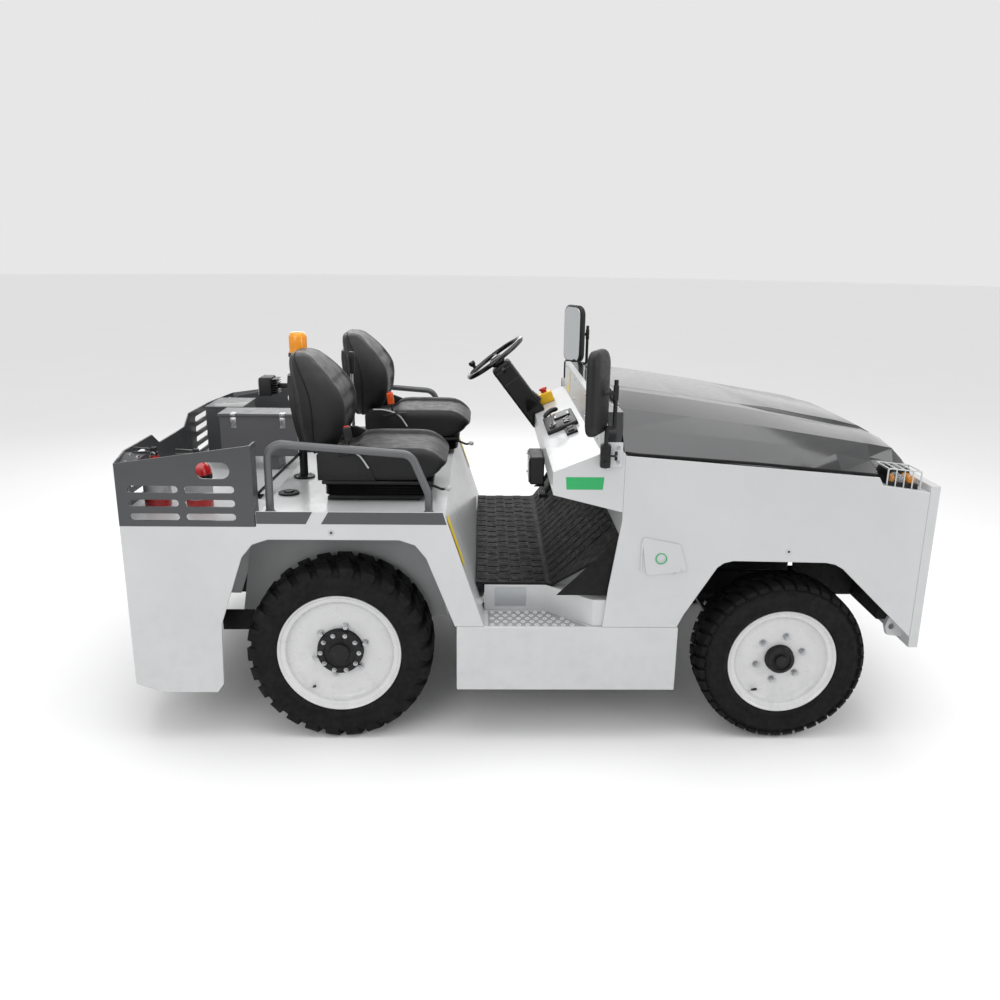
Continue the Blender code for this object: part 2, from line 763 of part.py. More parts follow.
def floor_plan(inset, rear, front):
    """The cab floor in plan, from the riser to the bulkhead, with its two step recesses."""
    right = [
        (rear, -STEP_IN + inset),
        (STEP_CORNER_X, -STEP_IN + inset),
        (STEP_FRONT_X, -HALF + SHEET + inset),
        (front, -HALF + SHEET + inset),
    ]
    return right + [(x, -y) for x, y in reversed(right)]


def cab_floor():
    """A floor pan with skirts down to the steps and a sloped toe board, and its rubber mat."""
    low = SILL_Z + GAP
    front = BULKHEAD_X - GAP
    floor = FLOOR_Z
    pan = plate(floor_plan(0.002, riser_x(low) + GAP * 2, front), low, floor, "XY")
    edge = STEP_IN - SHEET
    under = box((-1, -edge, 0), (1, edge, floor - FLOOR_SHEET))
    slope = [(TOE_X, floor), (front, TOE_TOP_Z), (front, floor - 0.006), (TOE_X, floor - 0.006)]
    toe = plate(slope, -edge, edge, "XZ")
    node("floor_pan", joined(cut(pan, under), toe), white)
    profile = [
        (-1, floor + GAP),
        (TOE_X - GAP, floor + GAP),
        (front, TOE_TOP_Z + GAP * 2),
        (front, TOE_TOP_Z + MAT),
        (TOE_X - 0.004, floor + MAT),
        (-1, floor + MAT),
    ]
    mat = plate(profile, -2, 2, "XZ")
    plan = floor_plan(0.006, riser_x(floor) + 0.004, front - GAP)
    outline = plate(plan, floor - 0.05, floor + 0.6, "XY")
    return node("floor_mat", boolean(mat, "INTERSECT", [outline]), rubber)


def side_step(side):
    x0 = REAR_AXLE_X + 0.506
    x1 = FRONT_AXLE_X - 0.473
    inner = STEP_IN - 0.10
    ys = sorted((side * inner, side * HALF))
    shell = box((x0, ys[0], STEP_BOTTOM_Z), (x1, ys[1], SILL_Z))
    hollow = box(
        (x0 + SHEET, ys[0] + SHEET, 0), (x1 - SHEET, ys[1] - SHEET, SILL_Z - SHEET)
    )
    name = "left" if side > 0 else "right"
    return node(f"{name}_side_step", cut(shell, hollow), white)


def seat(name, side, shift):
    """A suspension base, a cushion and a back that is wider at the shoulders."""
    x = riser_x(RIM_Z) + SEAT_SET + shift
    y = side * SEAT_Y
    w = SEAT_W / 2
    low = DECK_Z + GAP
    base = [(x - 0.51, low), (x - 0.11, low), (x - 0.11, low + 0.03), (x - 0.06, low + 0.04)]
    base += [(x - 0.06, low + SEAT_BASE_H), (x - 0.54, low + SEAT_BASE_H), (x - 0.54, low + 0.03)]
    node(f"{name}_seat_base", plate(base, y - w + 0.01, y + w - 0.01, "XZ"), black)
    z = low + SEAT_BASE_H + GAP
    top = z + CUSHION_H
    rest = z + CUSHION_H * 0.7
    outline = [(x - 0.550, z), (x - 0.08, z), (x - 0.005, z + 0.045), (x, z + 0.105)]
    outline += [(x - 0.060, top), (x - 0.30, top), (x - 0.420, rest), (x - 0.550, rest)]
    cushion = plate(rounded(outline, 0.03, 3), y - w, y + w, "XZ")
    node(f"{name}_seat_cushion", cushion, vinyl)
    foot = rest + GAP
    head = foot + BACK_H
    back = [(x - 0.620, foot + 0.03), (x - 0.550, foot), (x - 0.460, foot)]
    back += [(x - 0.416, foot + 0.13), (x - 0.420, foot + 0.23), (x - 0.50, head - 0.09)]
    back += [(x - 0.580, head), (x - 0.635, head), (x - 0.667, head - 0.07)]
    side_view = plate(rounded(back, 0.03, 3), y - w, y + w, "XZ")
    half = [(w * 0.78, foot - 0.01), (w, foot + 0.12), (w, foot + 0.24), (w * 0.86, head - 0.08)]
    half += [(w * 0.55, head + 0.004)]
    front_view = [(y + a, b) for a, b in half] + [(y - a, b) for a, b in reversed(half)]
    outline = plate(rounded(front_view, 0.03, 3), x - 1, x, "YZ")
    rear = w * BACK_NARROW
    out = w + 0.01
    plan = [(x - 0.70, y - rear), (x - 0.57, y - out), (x, y - out)]
    plan += [(x, y + out), (x - 0.57, y + out), (x - 0.70, y + rear)]
    over = plate(plan, 1, 2, "XY")
    node(f"{name}_seat_back", boolean(side_view, "INTERSECT", [outline, over]), vinyl)


def handrail(side):
    y = side * (HALF - 0.065)
    z = DECK_Z + GAP
    x0 = CAGE_FRONT_X + 0.050
    x1 = riser_x(RIM_Z)
    points = [
        (x0, y, z),
        (x0 + 0.002, y, z + 0.297),
        (x1 - 0.135, y, z + 0.247),
        (x1 - 0.065, y, z + 0.080),
        (x1 - 0.065, y, z),
    ]
    name = "left" if side > 0 else "right"
    return node(f"{name}_handrail", tube(points, 0.0165, 0.06), grey)


def hand_lever():
    x = riser_x(RIM_Z) - 0.485
    low = DECK_Z + GAP
    rod = tube([(x, 0, low), (x, 0, low + 0.470)], 0.009)
    grip = cylinder((x, 0, low + 0.515), 0.019, 0.11, steps=16)
    foot = box((x - 0.05, -0.03, low), (x + 0.05, 0.03, low + 0.02))
    return node("hand_lever", joined(foot, rod, grip), black)


def dash_slope():
    return (DASH_TOP[1] - DASH_NOSE[1]) / (DASH_TOP[0] - DASH_NOSE[0])


def dash_z(x):
    """The height of the sloped dash."""
    return DASH_NOSE[1] + dash_slope() * (x - DASH_NOSE[0])


def dashboard():
    """The sloped dash across the cab, with a boxed end on each side, and the board behind it."""
    rear = BULKHEAD_X - GAP
    dash = [
        DASH_NOSE,
        (DASH_NOSE[0], DASH_LOW[1] + 0.022),
        DASH_LOW,
        (rear, DASH_LOW_REAR_Z),
        (rear, DASH_TOP[1]),
        DASH_TOP,
    ]
    shell = plate(dash, -HALF, HALF, "XZ")
    low = (BOARD_X, -BOARD_Y, DASH_TOP[1] - 0.054)
    board = box(low, (BOARD_X + BOARD, BOARD_Y, BOARD_TOP_Z))
    return node("dashboard", joined(shell, board), white)


def cowl_top():
    low = (BOARD_X + BOARD + GAP, -BOARD_Y, DASH_TOP[1] + GAP)
    return node("cowl_top", box(low, (BULKHEAD_X - GAP, BOARD_Y, BOARD_TOP_Z - 0.004)), dark_grey)


def steering(parent):
    """A column that rises from the dash, and a wheel with three spokes and a spinner knob."""
    hub = Vector(WHEEL_HUB)
    down = Vector((math.sin(COLUMN_LEAN), 0, -math.cos(COLUMN_LEAN)))
    ahead = Vector((math.cos(COLUMN_LEAN), 0, math.sin(COLUMN_LEAN)))
    start = hub + down * 0.045
    a = start + ahead * COLUMN[0] / 2
    b = start - ahead * COLUMN[0] / 2
    reach = (DASH_NOSE[0] - GAP - b.x) / down.x
    low = b + down * reach
    slope = dash_slope()
    t = (dash_z(a.x) + 2 * GAP - a.z) / (down.z - slope * down.x)
    meet = a + down * t
    outline = [(a.x, a.z), (b.x, b.z), (low.x, low.z)]
    outline += [(low.x, DASH_NOSE[1] + GAP), (meet.x, meet.z)]
    column = plate(outline, hub.y - COLUMN[1] / 2, hub.y + COLUMN[1] / 2, "XZ")
    node("steering_column", column, black)
    work = Matrix.Translation(hub) @ turn_to(-down)
    reach = WHEEL_R - GRIP_R
    circle = [-2 * math.pi * i / 10 for i in range(10)]
    section = [(reach + GRIP_R * math.cos(a), GRIP_R * math.sin(a)) for a in circle]
    ring = turned(section, 36, True)
    ring.matrix_world = work
    boss = cylinder(hub + down * 0.02, 0.040, 0.05 - 2 * GAP, -down)
    spokes = []
    for angle in (90, 210, 330):
        turn = Matrix.Rotation(math.radians(angle), 4, "Z")
        spoke = block((reach, 0.026, 0.012))
        spoke.matrix_world = work @ turn @ Matrix.Translation((reach / 2, 0, 0))
        spokes.append(spoke)
    place = hub + work.to_3x3() @ Vector((-reach, 0, 0.030))
    knob = cylinder(place, 0.016, 0.050, -down, 16)
    node("steering_wheel", joined(ring, boss, *spokes, knob), black, parent)


def dash_fittings():
    """The switch console and the emergency stop, flat on the sloped dash."""
    tilt = math.atan(dash_slope())
    up = Vector((-math.sin(tilt), 0, math.cos(tilt)))
    for name, x, y, size, material in (
        ("switch_console", 0.279, -0.06, (0.155, 0.34, 0.020), black),
        ("emergency_stop", 0.262, 0.60, (0.08, 0.08, 0.060), yellow),
    ):
        shape = block(size)
        place = Vector((x, y, dash_z(x))) + up * (size[2] / 2 + GAP)
        shape.matrix_world = Matrix.Translation(place) @ Matrix.Rotation(-tilt, 4, "Y")
        node(name, shape, material)


def relay_box():
    back = DASH_NOSE[0] - GAP
    low = DASH_LOW[1] - 0.090
    return node("relay_box", box((back - 0.065, -0.40, low), (back, -0.20, low + 0.130)), black)


def pedals():
    """Two pedals on one cross shaft, hung under the dash."""
    rear = BULKHEAD_X - GAP
    slope = (DASH_LOW_REAR_Z - DASH_LOW[1]) / (rear - DASH_LOW[0])
    x0, x1 = 0.300, 0.330
    shaft_low = 1.000
    tops = [(x, DASH_LOW[1] + slope * (x - DASH_LOW[0]) - GAP) for x in (x1, x0)]
    inner, outer = PEDAL_Y
    shaft = plate([(x0, shaft_low), (x1, shaft_low)] + tops, inner - 0.06, outer + 0.08, "XZ")
    middle = (x0 + x1) / 2
    pad = FLOOR_Z + PEDAL_LIFT
    arms = [
        tube([(middle, y, 1.03), (0.300, y, pad + 0.12), (0.245, y, pad + 0.02)], 0.010, 0.03)
        for y in PEDAL_Y
    ]
    pads = [box((0.205, y - 0.045, pad), (0.250, y + 0.045, pad + 0.02)) for y in PEDAL_Y]
    return node("pedals", joined(shaft, *arms, *pads), black)


# ---- front body ------------------------------------------------------------


def shelf_z(x):
    """The height of the sloped shelf behind the bumper."""
    end = FRONT_X - BUMPER - GAP
    return SHELF_REAR_Z + (x - SHELF_X) * (SHELF_FRONT_Z - SHELF_REAR_Z) / (end - SHELF_X)


def front_side():
    """The side of the front body with its wheel arch."""
    axle = FRONT_AXLE_X
    arch = FRONT_ARCH_Z
    sill = SILL_Z + GAP
    end = FRONT_X - BUMPER - GAP
    return [
        (BULKHEAD_X, 1.294),
        (BULKHEAD_X, 1.018),
        (BULKHEAD_X - 0.045, 0.716),
        (BULKHEAD_X - 0.063, sill),
        (axle - 0.480, sill),
        (axle - 0.453, sill + 0.059),
        (axle - 0.326, arch - 0.030),
        (axle - 0.300, arch - 0.010),
        (axle - 0.261, arch),
        (axle + 0.130, arch - 0.006),
        (axle + 0.170, arch - 0.014),
        (axle + 0.205, arch - 0.034),
        (end - 0.005, 0.508),
        (end, 0.500),
        (end, SHELF_FRONT_Z),
        (SHELF_X, SHELF_REAR_Z),
        (SHELF_X - 0.018, 1.211),
    ]


def front_body():
    """Side panels with the wheel arches, a bulkhead behind the cab and a wall behind the bumper."""
    inner = HALF - SHEET
    nose = FRONT_X - BUMPER - GAP - SHEET
    x, z = FLAP_HINGE
    voids = [
        box((-1, -inner, 0), (BULKHEAD_X, inner, 2)),
        box((BULKHEAD_X + SHEET, -inner, 0), (SHELF_X, inner, 2)),
        box((SHELF_X - 0.01, -inner, 0), (nose, inner, SHELF_FRONT_Z - SHEET)),
        box((BULKHEAD_X - 0.1, -inner, 0), (BULKHEAD_X + 0.1, inner, RAIL_TOP_Z + GAP)),
        box((nose - 0.1, -inner, 0), (nose + 0.1, inner, RAIL_TOP_Z + 0.08)),
    ]
    socket = [(x + 0.019 + dx * 0.8, z + dz * 0.8) for dx, dz in FLAP]
    hole = plate(socket, -HALF - 1, -inner + 0.1, "XZ")
    return node("front_body", cut(plate(front_side(), -HALF, HALF, "XZ"), *voids, hole), white)


def charge_flap(parent):
    """A flat lid over the charging socket, hinged at its rear edge."""
    x, z = FLAP_HINGE
    outline = rounded([(x + dx, z + dz) for dx, dz in FLAP], 0.012, 3)
    lid = plate(outline, -HALF - GAP - FLAP_SHEET, -HALF - GAP, "XZ")
    return node("charge_flap", lid, white, parent)


def front_bumper():
    """A thick plate with two towing lugs behind its lower corners."""
    back = FRONT_X - BUMPER
    slab = box((back, -HALF, BUMPER_LOW_Z), (FRONT_X, HALF, BUMPER_TOP_Z))
    eye = (back - 0.045, 0.520)
    lug = [(back + 0.01, 0.470), (back + 0.01, 0.580)]
    lug += [(back - 0.063, 0.560), (back - 0.075, 0.520), (back - 0.063, 0.480)]
    lugs = []
    for side in (1, -1):
        y = side * (HALF - 0.09)
        hole = cylinder((eye[0], y, eye[1]), 0.014, 1, (0, 1, 0), 12)
        lugs.append(cut(plate(lug, y - 0.012, y + 0.012, "XZ"), hole))
    return node("front_bumper", joined(slab, *lugs), white)


# Share of the hood's length, height at the middle and over the shoulders, then how far in from
# the side and how high the upper crease, the lower crease and the edge lie.
HOOD_SECTIONS = (
    (0.000, 1.499, 1.495, (0.200, 1.455), (0.120, 1.381), (0.028, 1.306)),
    (0.242, 1.460, 1.457, (0.200, 1.419), (0.120, 1.359), (0.028, 1.270)),
    (0.476, 1.417, 1.413, (0.200, 1.382), (0.120, 1.329), (0.028, 1.244)),
    (0.595, 1.401, 1.385, (0.200, 1.358), (0.120, 1.307), (0.028, 1.235)),
    (0.714, 1.373, 1.356, (0.200, 1.335), (0.120, 1.284), (0.028, 1.228)),
    (0.833, 1.347, 1.328, (0.200, 1.312), (0.125, 1.252), (0.028, 1.220)),
    (0.845, 1.344, 1.325, (0.202, 1.310), (0.165, 1.258), (0.155, 1.212)),
    (0.933, 1.318, 1.304, (0.210, 1.290), (0.180, 1.235), (0.165, 1.192)),
    (0.976, 1.288, 1.282, (0.220, 1.238), (0.190, 1.208), (0.175, 1.182)),
    (0.998, 1.215, 1.212, (0.220, 1.205), (0.195, 1.192), (0.180, 1.180)),
    (1.000, 1.186, 1.185, (0.220, 1.184), (0.195, 1.183), (0.180, 1.180)),
)
BULGE_Y = 0.33
SHOULDER_Y = 0.44


def hood(parent):
    """A wedge with creased sides and a raised middle, lofted from sections and open below."""
    rows = []
    for share, top, shoulder, upper, lower, edge in HOOD_SECTIONS:
        x = HOOD_REAR_X + share * (HOOD_NOSE_X - HOOD_REAR_X)
        half = [(HALF - inset, z) for inset, z in (edge, lower, upper)]
        rise = min(top - shoulder, 0.010)
        half += [(SHOULDER_Y, shoulder), (BULGE_Y + 0.012, shoulder + 0.001), (BULGE_Y, top - rise / 3)]
        middle = [(0, top)]
        rows.append([(x, -y, z) for y, z in half + middle] + [(x, y, z) for y, z in reversed(half)])
    count = len(rows[0])
    verts = [p for row in rows for p in row]
    faces = [
        (r * count + c, (r + 1) * count + c, (r + 1) * count + c + 1, r * count + c + 1)
        for r in range(len(rows) - 1)
        for c in range(count - 1)
    ]
    mesh = bpy.data.meshes.new("hood")
    mesh.from_pydata(verts, [], faces)
    shell = helper(mesh)
    solid = shell.modifiers.new("sheet", "SOLIDIFY")
    solid.thickness = HOOD_SHEET
    solid.offset = -1
    behind = box((HOOD_REAR_X - 0.1, -HALF, 1), (HOOD_REAR_X, HALF, 2))
    return node("hood", cut(shell, behind), dark_grey, parent)


def headlight(side):
    """A lamp on the shelf behind the bumper."""
    y = side * HEADLIGHT_Y
    x0, x1 = SHELF_X + 0.025, SHELF_X + 0.155
    outline = [(x0, shelf_z(x0) + GAP), (x1, shelf_z(x1) + GAP)]
    outline += [(x1, shelf_z(x1) + 0.055), (x0, shelf_z(x0) + 0.068)]
    lamp = plate(outline, y - HEADLIGHT_W / 2, y + HEADLIGHT_W / 2, "XZ")
    name = "left" if side > 0 else "right"
    return node(f"{name}_headlight", lamp, clear)


def mirror(side, reach, lift):
    """A bracket on the side of the dash, a cranked arm and a tall head that faces the driver."""
    name = "left" if side > 0 else "right"
    wall = side * (HALF + GAP)
    y = side * (HALF + 0.030)
    rod = BOARD_X + 0.010
    ys = sorted((wall, side * (HALF + 0.006)))
    base = box((rod - 0.020, ys[0], 1.246), (BULKHEAD_X - 0.011, ys[1], 1.350))
    clamp = cylinder((rod, y, 1.300), 0.018, 0.107, steps=12)
    ys = sorted((side * (HALF + 0.003), y))
    link = box((rod - 0.012, ys[0], 1.255), (rod + 0.012, ys[1], 1.345))
    arm_x = rod + reach
    crank = 1.425 + lift / 2
    arm = tube(
        [(rod, y, 1.32), (rod, y, crank), (arm_x, y, crank - 0.02), (arm_x, y, 1.605 + lift)],
        0.009,
        0.012,
    )
    face_h = MIRROR[2] / 2
    face_w = MIRROR[1] / 2
    outline = [(-face_w, 0.04 - face_h), (0.035 - face_w, -face_h), (face_w - 0.035, -face_h)]
    outline += [(face_w, 0.04 - face_h)]
    outline += [(-a, -b) for a, b in outline]
    head = plate(rounded(outline, 0.03, 3), -MIRROR[0] / 2, MIRROR[0] / 2, "YZ")
    centre = Vector((arm_x - 0.070, side * (HALF + 0.050), 1.555 + lift))
    head.matrix_world = (
        Matrix.Translation(centre)
        @ Matrix.Rotation(side * MIRROR_TURN, 4, "Z")
        @ head.matrix_world
    )
    stay = tube([(arm_x, y, centre.z), tuple(centre)], 0.008)
    return node(f"{name}_mirror", joined(base, clamp, link, arm, stay, head), black)


clear_scene()
tug = new_collection("baggage_tug")
cutters = new_collection("cutters")

white = paint("white_paint", (0.78, 0.79, 0.80), 0.35)
grey = paint("grey_paint", (0.22, 0.22, 0.23), 0.45)
dark_grey = paint("dark_grey_paint", (0.07, 0.07, 0.075), 0.40)
black = paint("black_paint", (0.02, 0.02, 0.02), 0.50)
red = paint("red_paint", (0.50, 0.02, 0.02), 0.35)
rubber = paint("rubber", (0.015, 0.015, 0.016), 0.80)
vinyl = paint("vinyl", (0.02, 0.02, 0.022), 0.55)
steel = paint("steel", (0.45, 0.45, 0.46), 0.35, 1.0)
amber = paint("amber_plastic", (0.90, 0.35, 0.02), 0.25)
yellow = paint("yellow_plastic", (0.85, 0.60, 0.02), 0.35)
clear = paint("lamp_glass", (0.75, 0.78, 0.80), 0.10)

chassis_frame()
battery()
rear_axle()
front_axle()
kingpins = {s: pivot(f"kingpin_{s}", (FRONT_AXLE_X, s * KINGPIN_Y, FRONT_TYRE_R)) for s in (1, -1)}
for side in (1, -1):
    knuckle(side, kingpins[side])
    wheel("front", side, FRONT_TYRE_R, FRONT_FLANGE_R, FRONT_TYRE_W, FRONT_HUB_R, kingpins[side])
    wheel("rear", side, REAR_TYRE_R, REAR_FLANGE_R, REAR_TYRE_W, REAR_HUB_R)
rod_z = FRONT_TYRE_R - KINGPIN_LENGTH / 2 - EAR + ARM_H
tie_rod(pivot("tie_rod_end", (FRONT_AXLE_X - STEER_ARM, KINGPIN_Y, rod_z), kingpins[1]))

rear_body()
rear_cage()
tow_hitch()
tow_pin(pivot("tow_pin_slide", (REAR_X - GAP - 0.075, 0, 0.45)))
box_low, box_high = toolbox_corners()
lid_x = (box_low[0] + box_high[0]) / 2
toolbox(pivot("toolbox_hinge", (lid_x, box_low[1] - LID_LIP, box_high[2])))
rear_locker()
fire_extinguisher("fire_extinguisher_a", -1.33, -0.65, -1)
fire_extinguisher("fire_extinguisher_b", -1.52, -0.62, -1)
beacon_pole()
work_light()

cab_floor()
seat("passenger", -1, 0.0)
seat("driver", 1, 0.09)
hand_lever()
dashboard()
cowl_top()
steering(pivot("steering_wheel_axis", WHEEL_HUB))
dash_fittings()
relay_box()
pedals()

front_body()
flap_x, flap_z = FLAP_HINGE
charge_flap(pivot("charge_flap_hinge", (flap_x, -HALF - GAP - FLAP_SHEET, flap_z)))
front_bumper()
hood(pivot("hood_hinge", (HOOD_REAR_X, 0, HOOD_HINGE_Z)))
for side in (1, -1):
    side_step(side)
    handrail(side)
    headlight(side)
mirror(-1, 0.030, 0.0)
mirror(1, 0.125, 0.05)
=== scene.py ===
import json
import math

import bmesh
import bpy
from mathutils import Matrix, Vector


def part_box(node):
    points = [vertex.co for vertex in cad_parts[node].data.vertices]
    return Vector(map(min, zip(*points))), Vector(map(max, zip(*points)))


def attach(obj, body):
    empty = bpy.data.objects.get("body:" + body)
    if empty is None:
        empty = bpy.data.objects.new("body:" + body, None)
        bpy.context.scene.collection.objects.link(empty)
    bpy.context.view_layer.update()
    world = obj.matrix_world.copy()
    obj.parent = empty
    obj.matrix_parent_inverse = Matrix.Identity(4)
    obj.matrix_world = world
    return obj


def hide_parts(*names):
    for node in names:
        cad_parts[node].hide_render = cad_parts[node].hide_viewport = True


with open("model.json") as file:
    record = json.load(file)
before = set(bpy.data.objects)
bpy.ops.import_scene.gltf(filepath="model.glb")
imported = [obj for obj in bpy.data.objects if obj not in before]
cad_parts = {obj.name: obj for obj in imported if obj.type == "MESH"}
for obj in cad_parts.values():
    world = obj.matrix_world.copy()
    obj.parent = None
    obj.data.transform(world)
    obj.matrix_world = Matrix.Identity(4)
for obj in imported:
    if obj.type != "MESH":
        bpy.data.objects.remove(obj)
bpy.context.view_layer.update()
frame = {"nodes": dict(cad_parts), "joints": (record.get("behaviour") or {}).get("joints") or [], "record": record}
print("frame loaded:", len(frame["nodes"]), "nodes")


# ---- small tools: meshes ----

def link(name, mesh, material=None, body=None):
    piece = bpy.data.objects.new(name, mesh)
    bpy.context.scene.collection.objects.link(piece)
    if material:
        mesh.materials.clear()
        mesh.materials.append(material)
    if body:
        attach(piece, body)
    return piece


def meshFrom(name, work, smoothAngle=35):
    bmesh.ops.recalc_face_normals(work, faces=work.faces)
    mesh = bpy.data.meshes.new(name)
    work.to_mesh(mesh)
    work.free()
    if smoothAngle:
        mesh.shade_smooth()
        mesh.set_sharp_from_angle(angle=math.radians(smoothAngle))
    return mesh


def finished(piece, body, replaced=()):
    # applies every modifier, so that the mesh is plain, then hands the piece to its body
    bpy.context.view_layer.update()
    graph = bpy.context.evaluated_depsgraph_get()
    mesh = bpy.data.meshes.new_from_object(piece.evaluated_get(graph))
    mesh.name = piece.name
    mesh.transform(piece.matrix_world)
    piece.modifiers.clear()
    piece.data = mesh
    piece.matrix_world = Matrix.Identity(4)
    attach(piece, body)
    for node in replaced:
        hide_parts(node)
    return piece


def bevelled(piece, width, segments=2, angle=30):
    bevel = piece.modifiers.new("edges", "BEVEL")
    bevel.width = width
    bevel.segments = segments
    bevel.limit_method = "ANGLE"
    bevel.angle_limit = math.radians(angle)
    bevel.use_clamp_overlap = True
    bevel.harden_normals = False
    return piece


def dressed(node, name, material, width=0.0015, segments=2, angle=30):
    # a merged copy of a CAD node with its edges broken, in place of the node
    work = bmesh.new()
    work.from_mesh(frame["nodes"][node].data)
    bmesh.ops.remove_doubles(work, verts=work.verts, dist=0.00002)
    bmesh.ops.dissolve_limit(work, angle_limit=math.radians(1.0), verts=work.verts, edges=work.edges)
    mesh = bpy.data.meshes.new(name)
    work.to_mesh(mesh)
    work.free()
    mesh.shade_smooth()
    mesh.set_sharp_from_angle(angle=math.radians(32))
    piece = link(name, mesh, material)
    if width:
        bevelled(piece, width, segments, angle)
    return finished(piece, bodyOf[node], [node])


bodyOf = {node: body for body, nodes in frame["record"]["behaviour"]["bodies"].items() for node in nodes}


def turnTo(axis):
    return Vector((0, 0, 1)).rotation_difference(Vector(axis)).to_matrix().to_4x4()


def placed(centre, axis=(0, 0, 1), spin=0.0):
    return Matrix.Translation(centre) @ turnTo(axis) @ Matrix.Rotation(spin, 4, "Z")


def addLathe(work, profile, matrix, steps=32, closed=False):
    # profile of (radius, height) about Z, put in place by the matrix
    rings = []
    for radius, height in profile:
        if radius < 1e-6:
            rings.append([work.verts.new(matrix @ Vector((0, 0, height)))])
            continue
        rings.append([
            work.verts.new(matrix @ Vector((radius * math.cos(t), radius * math.sin(t), height)))
            for t in (2 * math.pi * i / steps for i in range(steps))
        ])
    pairs = list(zip(rings, rings[1:])) + ([(rings[-1], rings[0])] if closed else [])
    for low, high in pairs:
        for i in range(steps):
            j = (i + 1) % steps
            if len(low) == 1 and len(high) == 1:
                continue
            if len(low) == 1:
                work.faces.new((low[0], high[i], high[j]))
            elif len(high) == 1:
                work.faces.new((low[i], high[0], low[j]))
            else:
                work.faces.new((low[i], high[i], high[j], low[j]))
    if not closed:
        for ring in (rings[0], rings[-1]):
            if len(ring) > 1:
                work.faces.new(ring)


def addBlock(work, size, matrix, round=0.0, segments=2):
    # a box about the matrix, its edges rounded
    made = bmesh.ops.create_cube(work, size=1.0)
    verts = made["verts"]
    bmesh.ops.scale(work, vec=size, verts=verts)
    if round:
        edges = list({edge for vert in verts for edge in vert.link_edges})
        done = bmesh.ops.bevel(
            work, geom=edges, offset=min(round, min(size) * 0.49), segments=segments,
            profile=0.5, affect="EDGES", clamp_overlap=True,
        )
        verts = list({vert for face in done["faces"] for vert in face.verts})
        seen = set(verts)
        stack = list(verts)
        while stack:
            vert = stack.pop()
            for edge in vert.link_edges:
                other = edge.other_vert(vert)
                if other not in seen:
                    seen.add(other)
                    stack.append(other)
        verts = list(seen)
    bmesh.ops.transform(work, matrix=matrix, verts=verts)


def boxMatrix(low, high):
    return Matrix.Translation([(a + b) / 2 for a, b in zip(low, high)])


def addBox(work, low, high, round=0.0015, segments=2):
    addBlock(work, [b - a for a, b in zip(low, high)], boxMatrix(low, high), round, segments)


def addPrism(work, outline, low, high, plane, round=0.0):
    # a flat outline made solid along the third axis
    order = {"XY": lambda a, b, c: (a, b, c), "XZ": lambda a, b, c: (a, c, b), "YZ": lambda a, b, c: (c, a, b)}[plane]
    lower = [work.verts.new(order(a, b, low)) for a, b in outline]
    upper = [work.verts.new(order(a, b, high)) for a, b in outline]
    faces = [work.faces.new(lower), work.faces.new(upper)]
    count = len(outline)
    for i in range(count):
        j = (i + 1) % count
        faces.append(work.faces.new((lower[i], lower[j], upper[j], upper[i])))
    bmesh.ops.recalc_face_normals(work, faces=faces)
    if round:
        edges = list({edge for face in faces[:2] for edge in face.edges})
        bmesh.ops.bevel(work, geom=edges, offset=round, segments=2, profile=0.5, affect="EDGES", clamp_overlap=True)


def smoothPath(points, steps=8):
    # a Catmull-Rom line through the points
    points = [Vector(p) for p in points]
    ends = [2 * points[0] - points[1]] + points + [2 * points[-1] - points[-2]]
    line = []
    for i in range(1, len(ends) - 2):
        a, b, c, d = ends[i - 1:i + 3]
        for k in range(steps):
            t = k / steps
            line.append(0.5 * (2 * b + (c - a) * t + (2 * a - 5 * b + 4 * c - d) * t * t + (3 * b - a - 3 * c + d) * t ** 3))
    return line + [points[-1]]


def roundPath(points, radius, steps=8):
    # straight runs with an arc at each corner
    points = [Vector(p) for p in points]
    line = [points[0]]
    for before, corner, after in zip(points, points[1:], points[2:]):
        a, b = before - corner, after - corner
        half = a.angle(b) / 2
        reach = min(radius / math.tan(half), a.length * 0.49, b.length * 0.49)
        start, end = corner + a.normalized() * reach, corner + b.normalized() * reach
        centre = corner + (a.normalized() + b.normalized()).normalized() * reach / math.cos(half)
        arm = (start - centre).length
        for i in range(steps + 1):
            line.append(centre + (start - centre).lerp(end - centre, i / steps).normalized() * arm)
    return line + [points[-1]]


def addTube(work, line, radius, sides=12, flat=1.0, capped=True):
    # a round or flattened tube along a line of points; radius is a number or a function of 0..1
    rings = []
    count = len(line)
    normal = None
    for i, point in enumerate(line):
        ahead = (line[min(i + 1, count - 1)] - line[max(i - 1, 0)]).normalized()
        if normal is None:
            normal = ahead.orthogonal().normalized()
            if abs(ahead.y) < 0.9:
                normal = (Vector((0, 1, 0)) - ahead * ahead.y).normalized()
        else:
            normal = (normal - ahead * normal.dot(ahead)).normalized()
        side = ahead.cross(normal)
        r = radius(i / (count - 1)) if callable(radius) else radius
        rings.append([
            work.verts.new(point + (normal * math.cos(t) + side * math.sin(t) * flat) * r)
            for t in (2 * math.pi * k / sides for k in range(sides))
        ])
    for low, high in zip(rings, rings[1:]):
        for k in range(sides):
            work.faces.new((low[k], low[(k + 1) % sides], high[(k + 1) % sides], high[k]))
    if capped:
        work.faces.new(rings[0])
        work.faces.new(list(reversed(rings[-1])))


def made(name, build, material, body="chassis", slot=None, replaced=(), smoothAngle=35, bevel=0.0, subdivide=0):
    # one piece from a function that fills a bmesh
    work = bmesh.new()
    build(work)
    piece = link(name, meshFrom(name, work, smoothAngle), material)
    if bevel:
        bevelled(piece, bevel)
    if subdivide:
        level = piece.modifiers.new("smooth", "SUBSURF")
        level.levels = subdivide
        level.render_levels = subdivide
    return finished(piece, body, replaced)


# ---- small tools: node trees ----

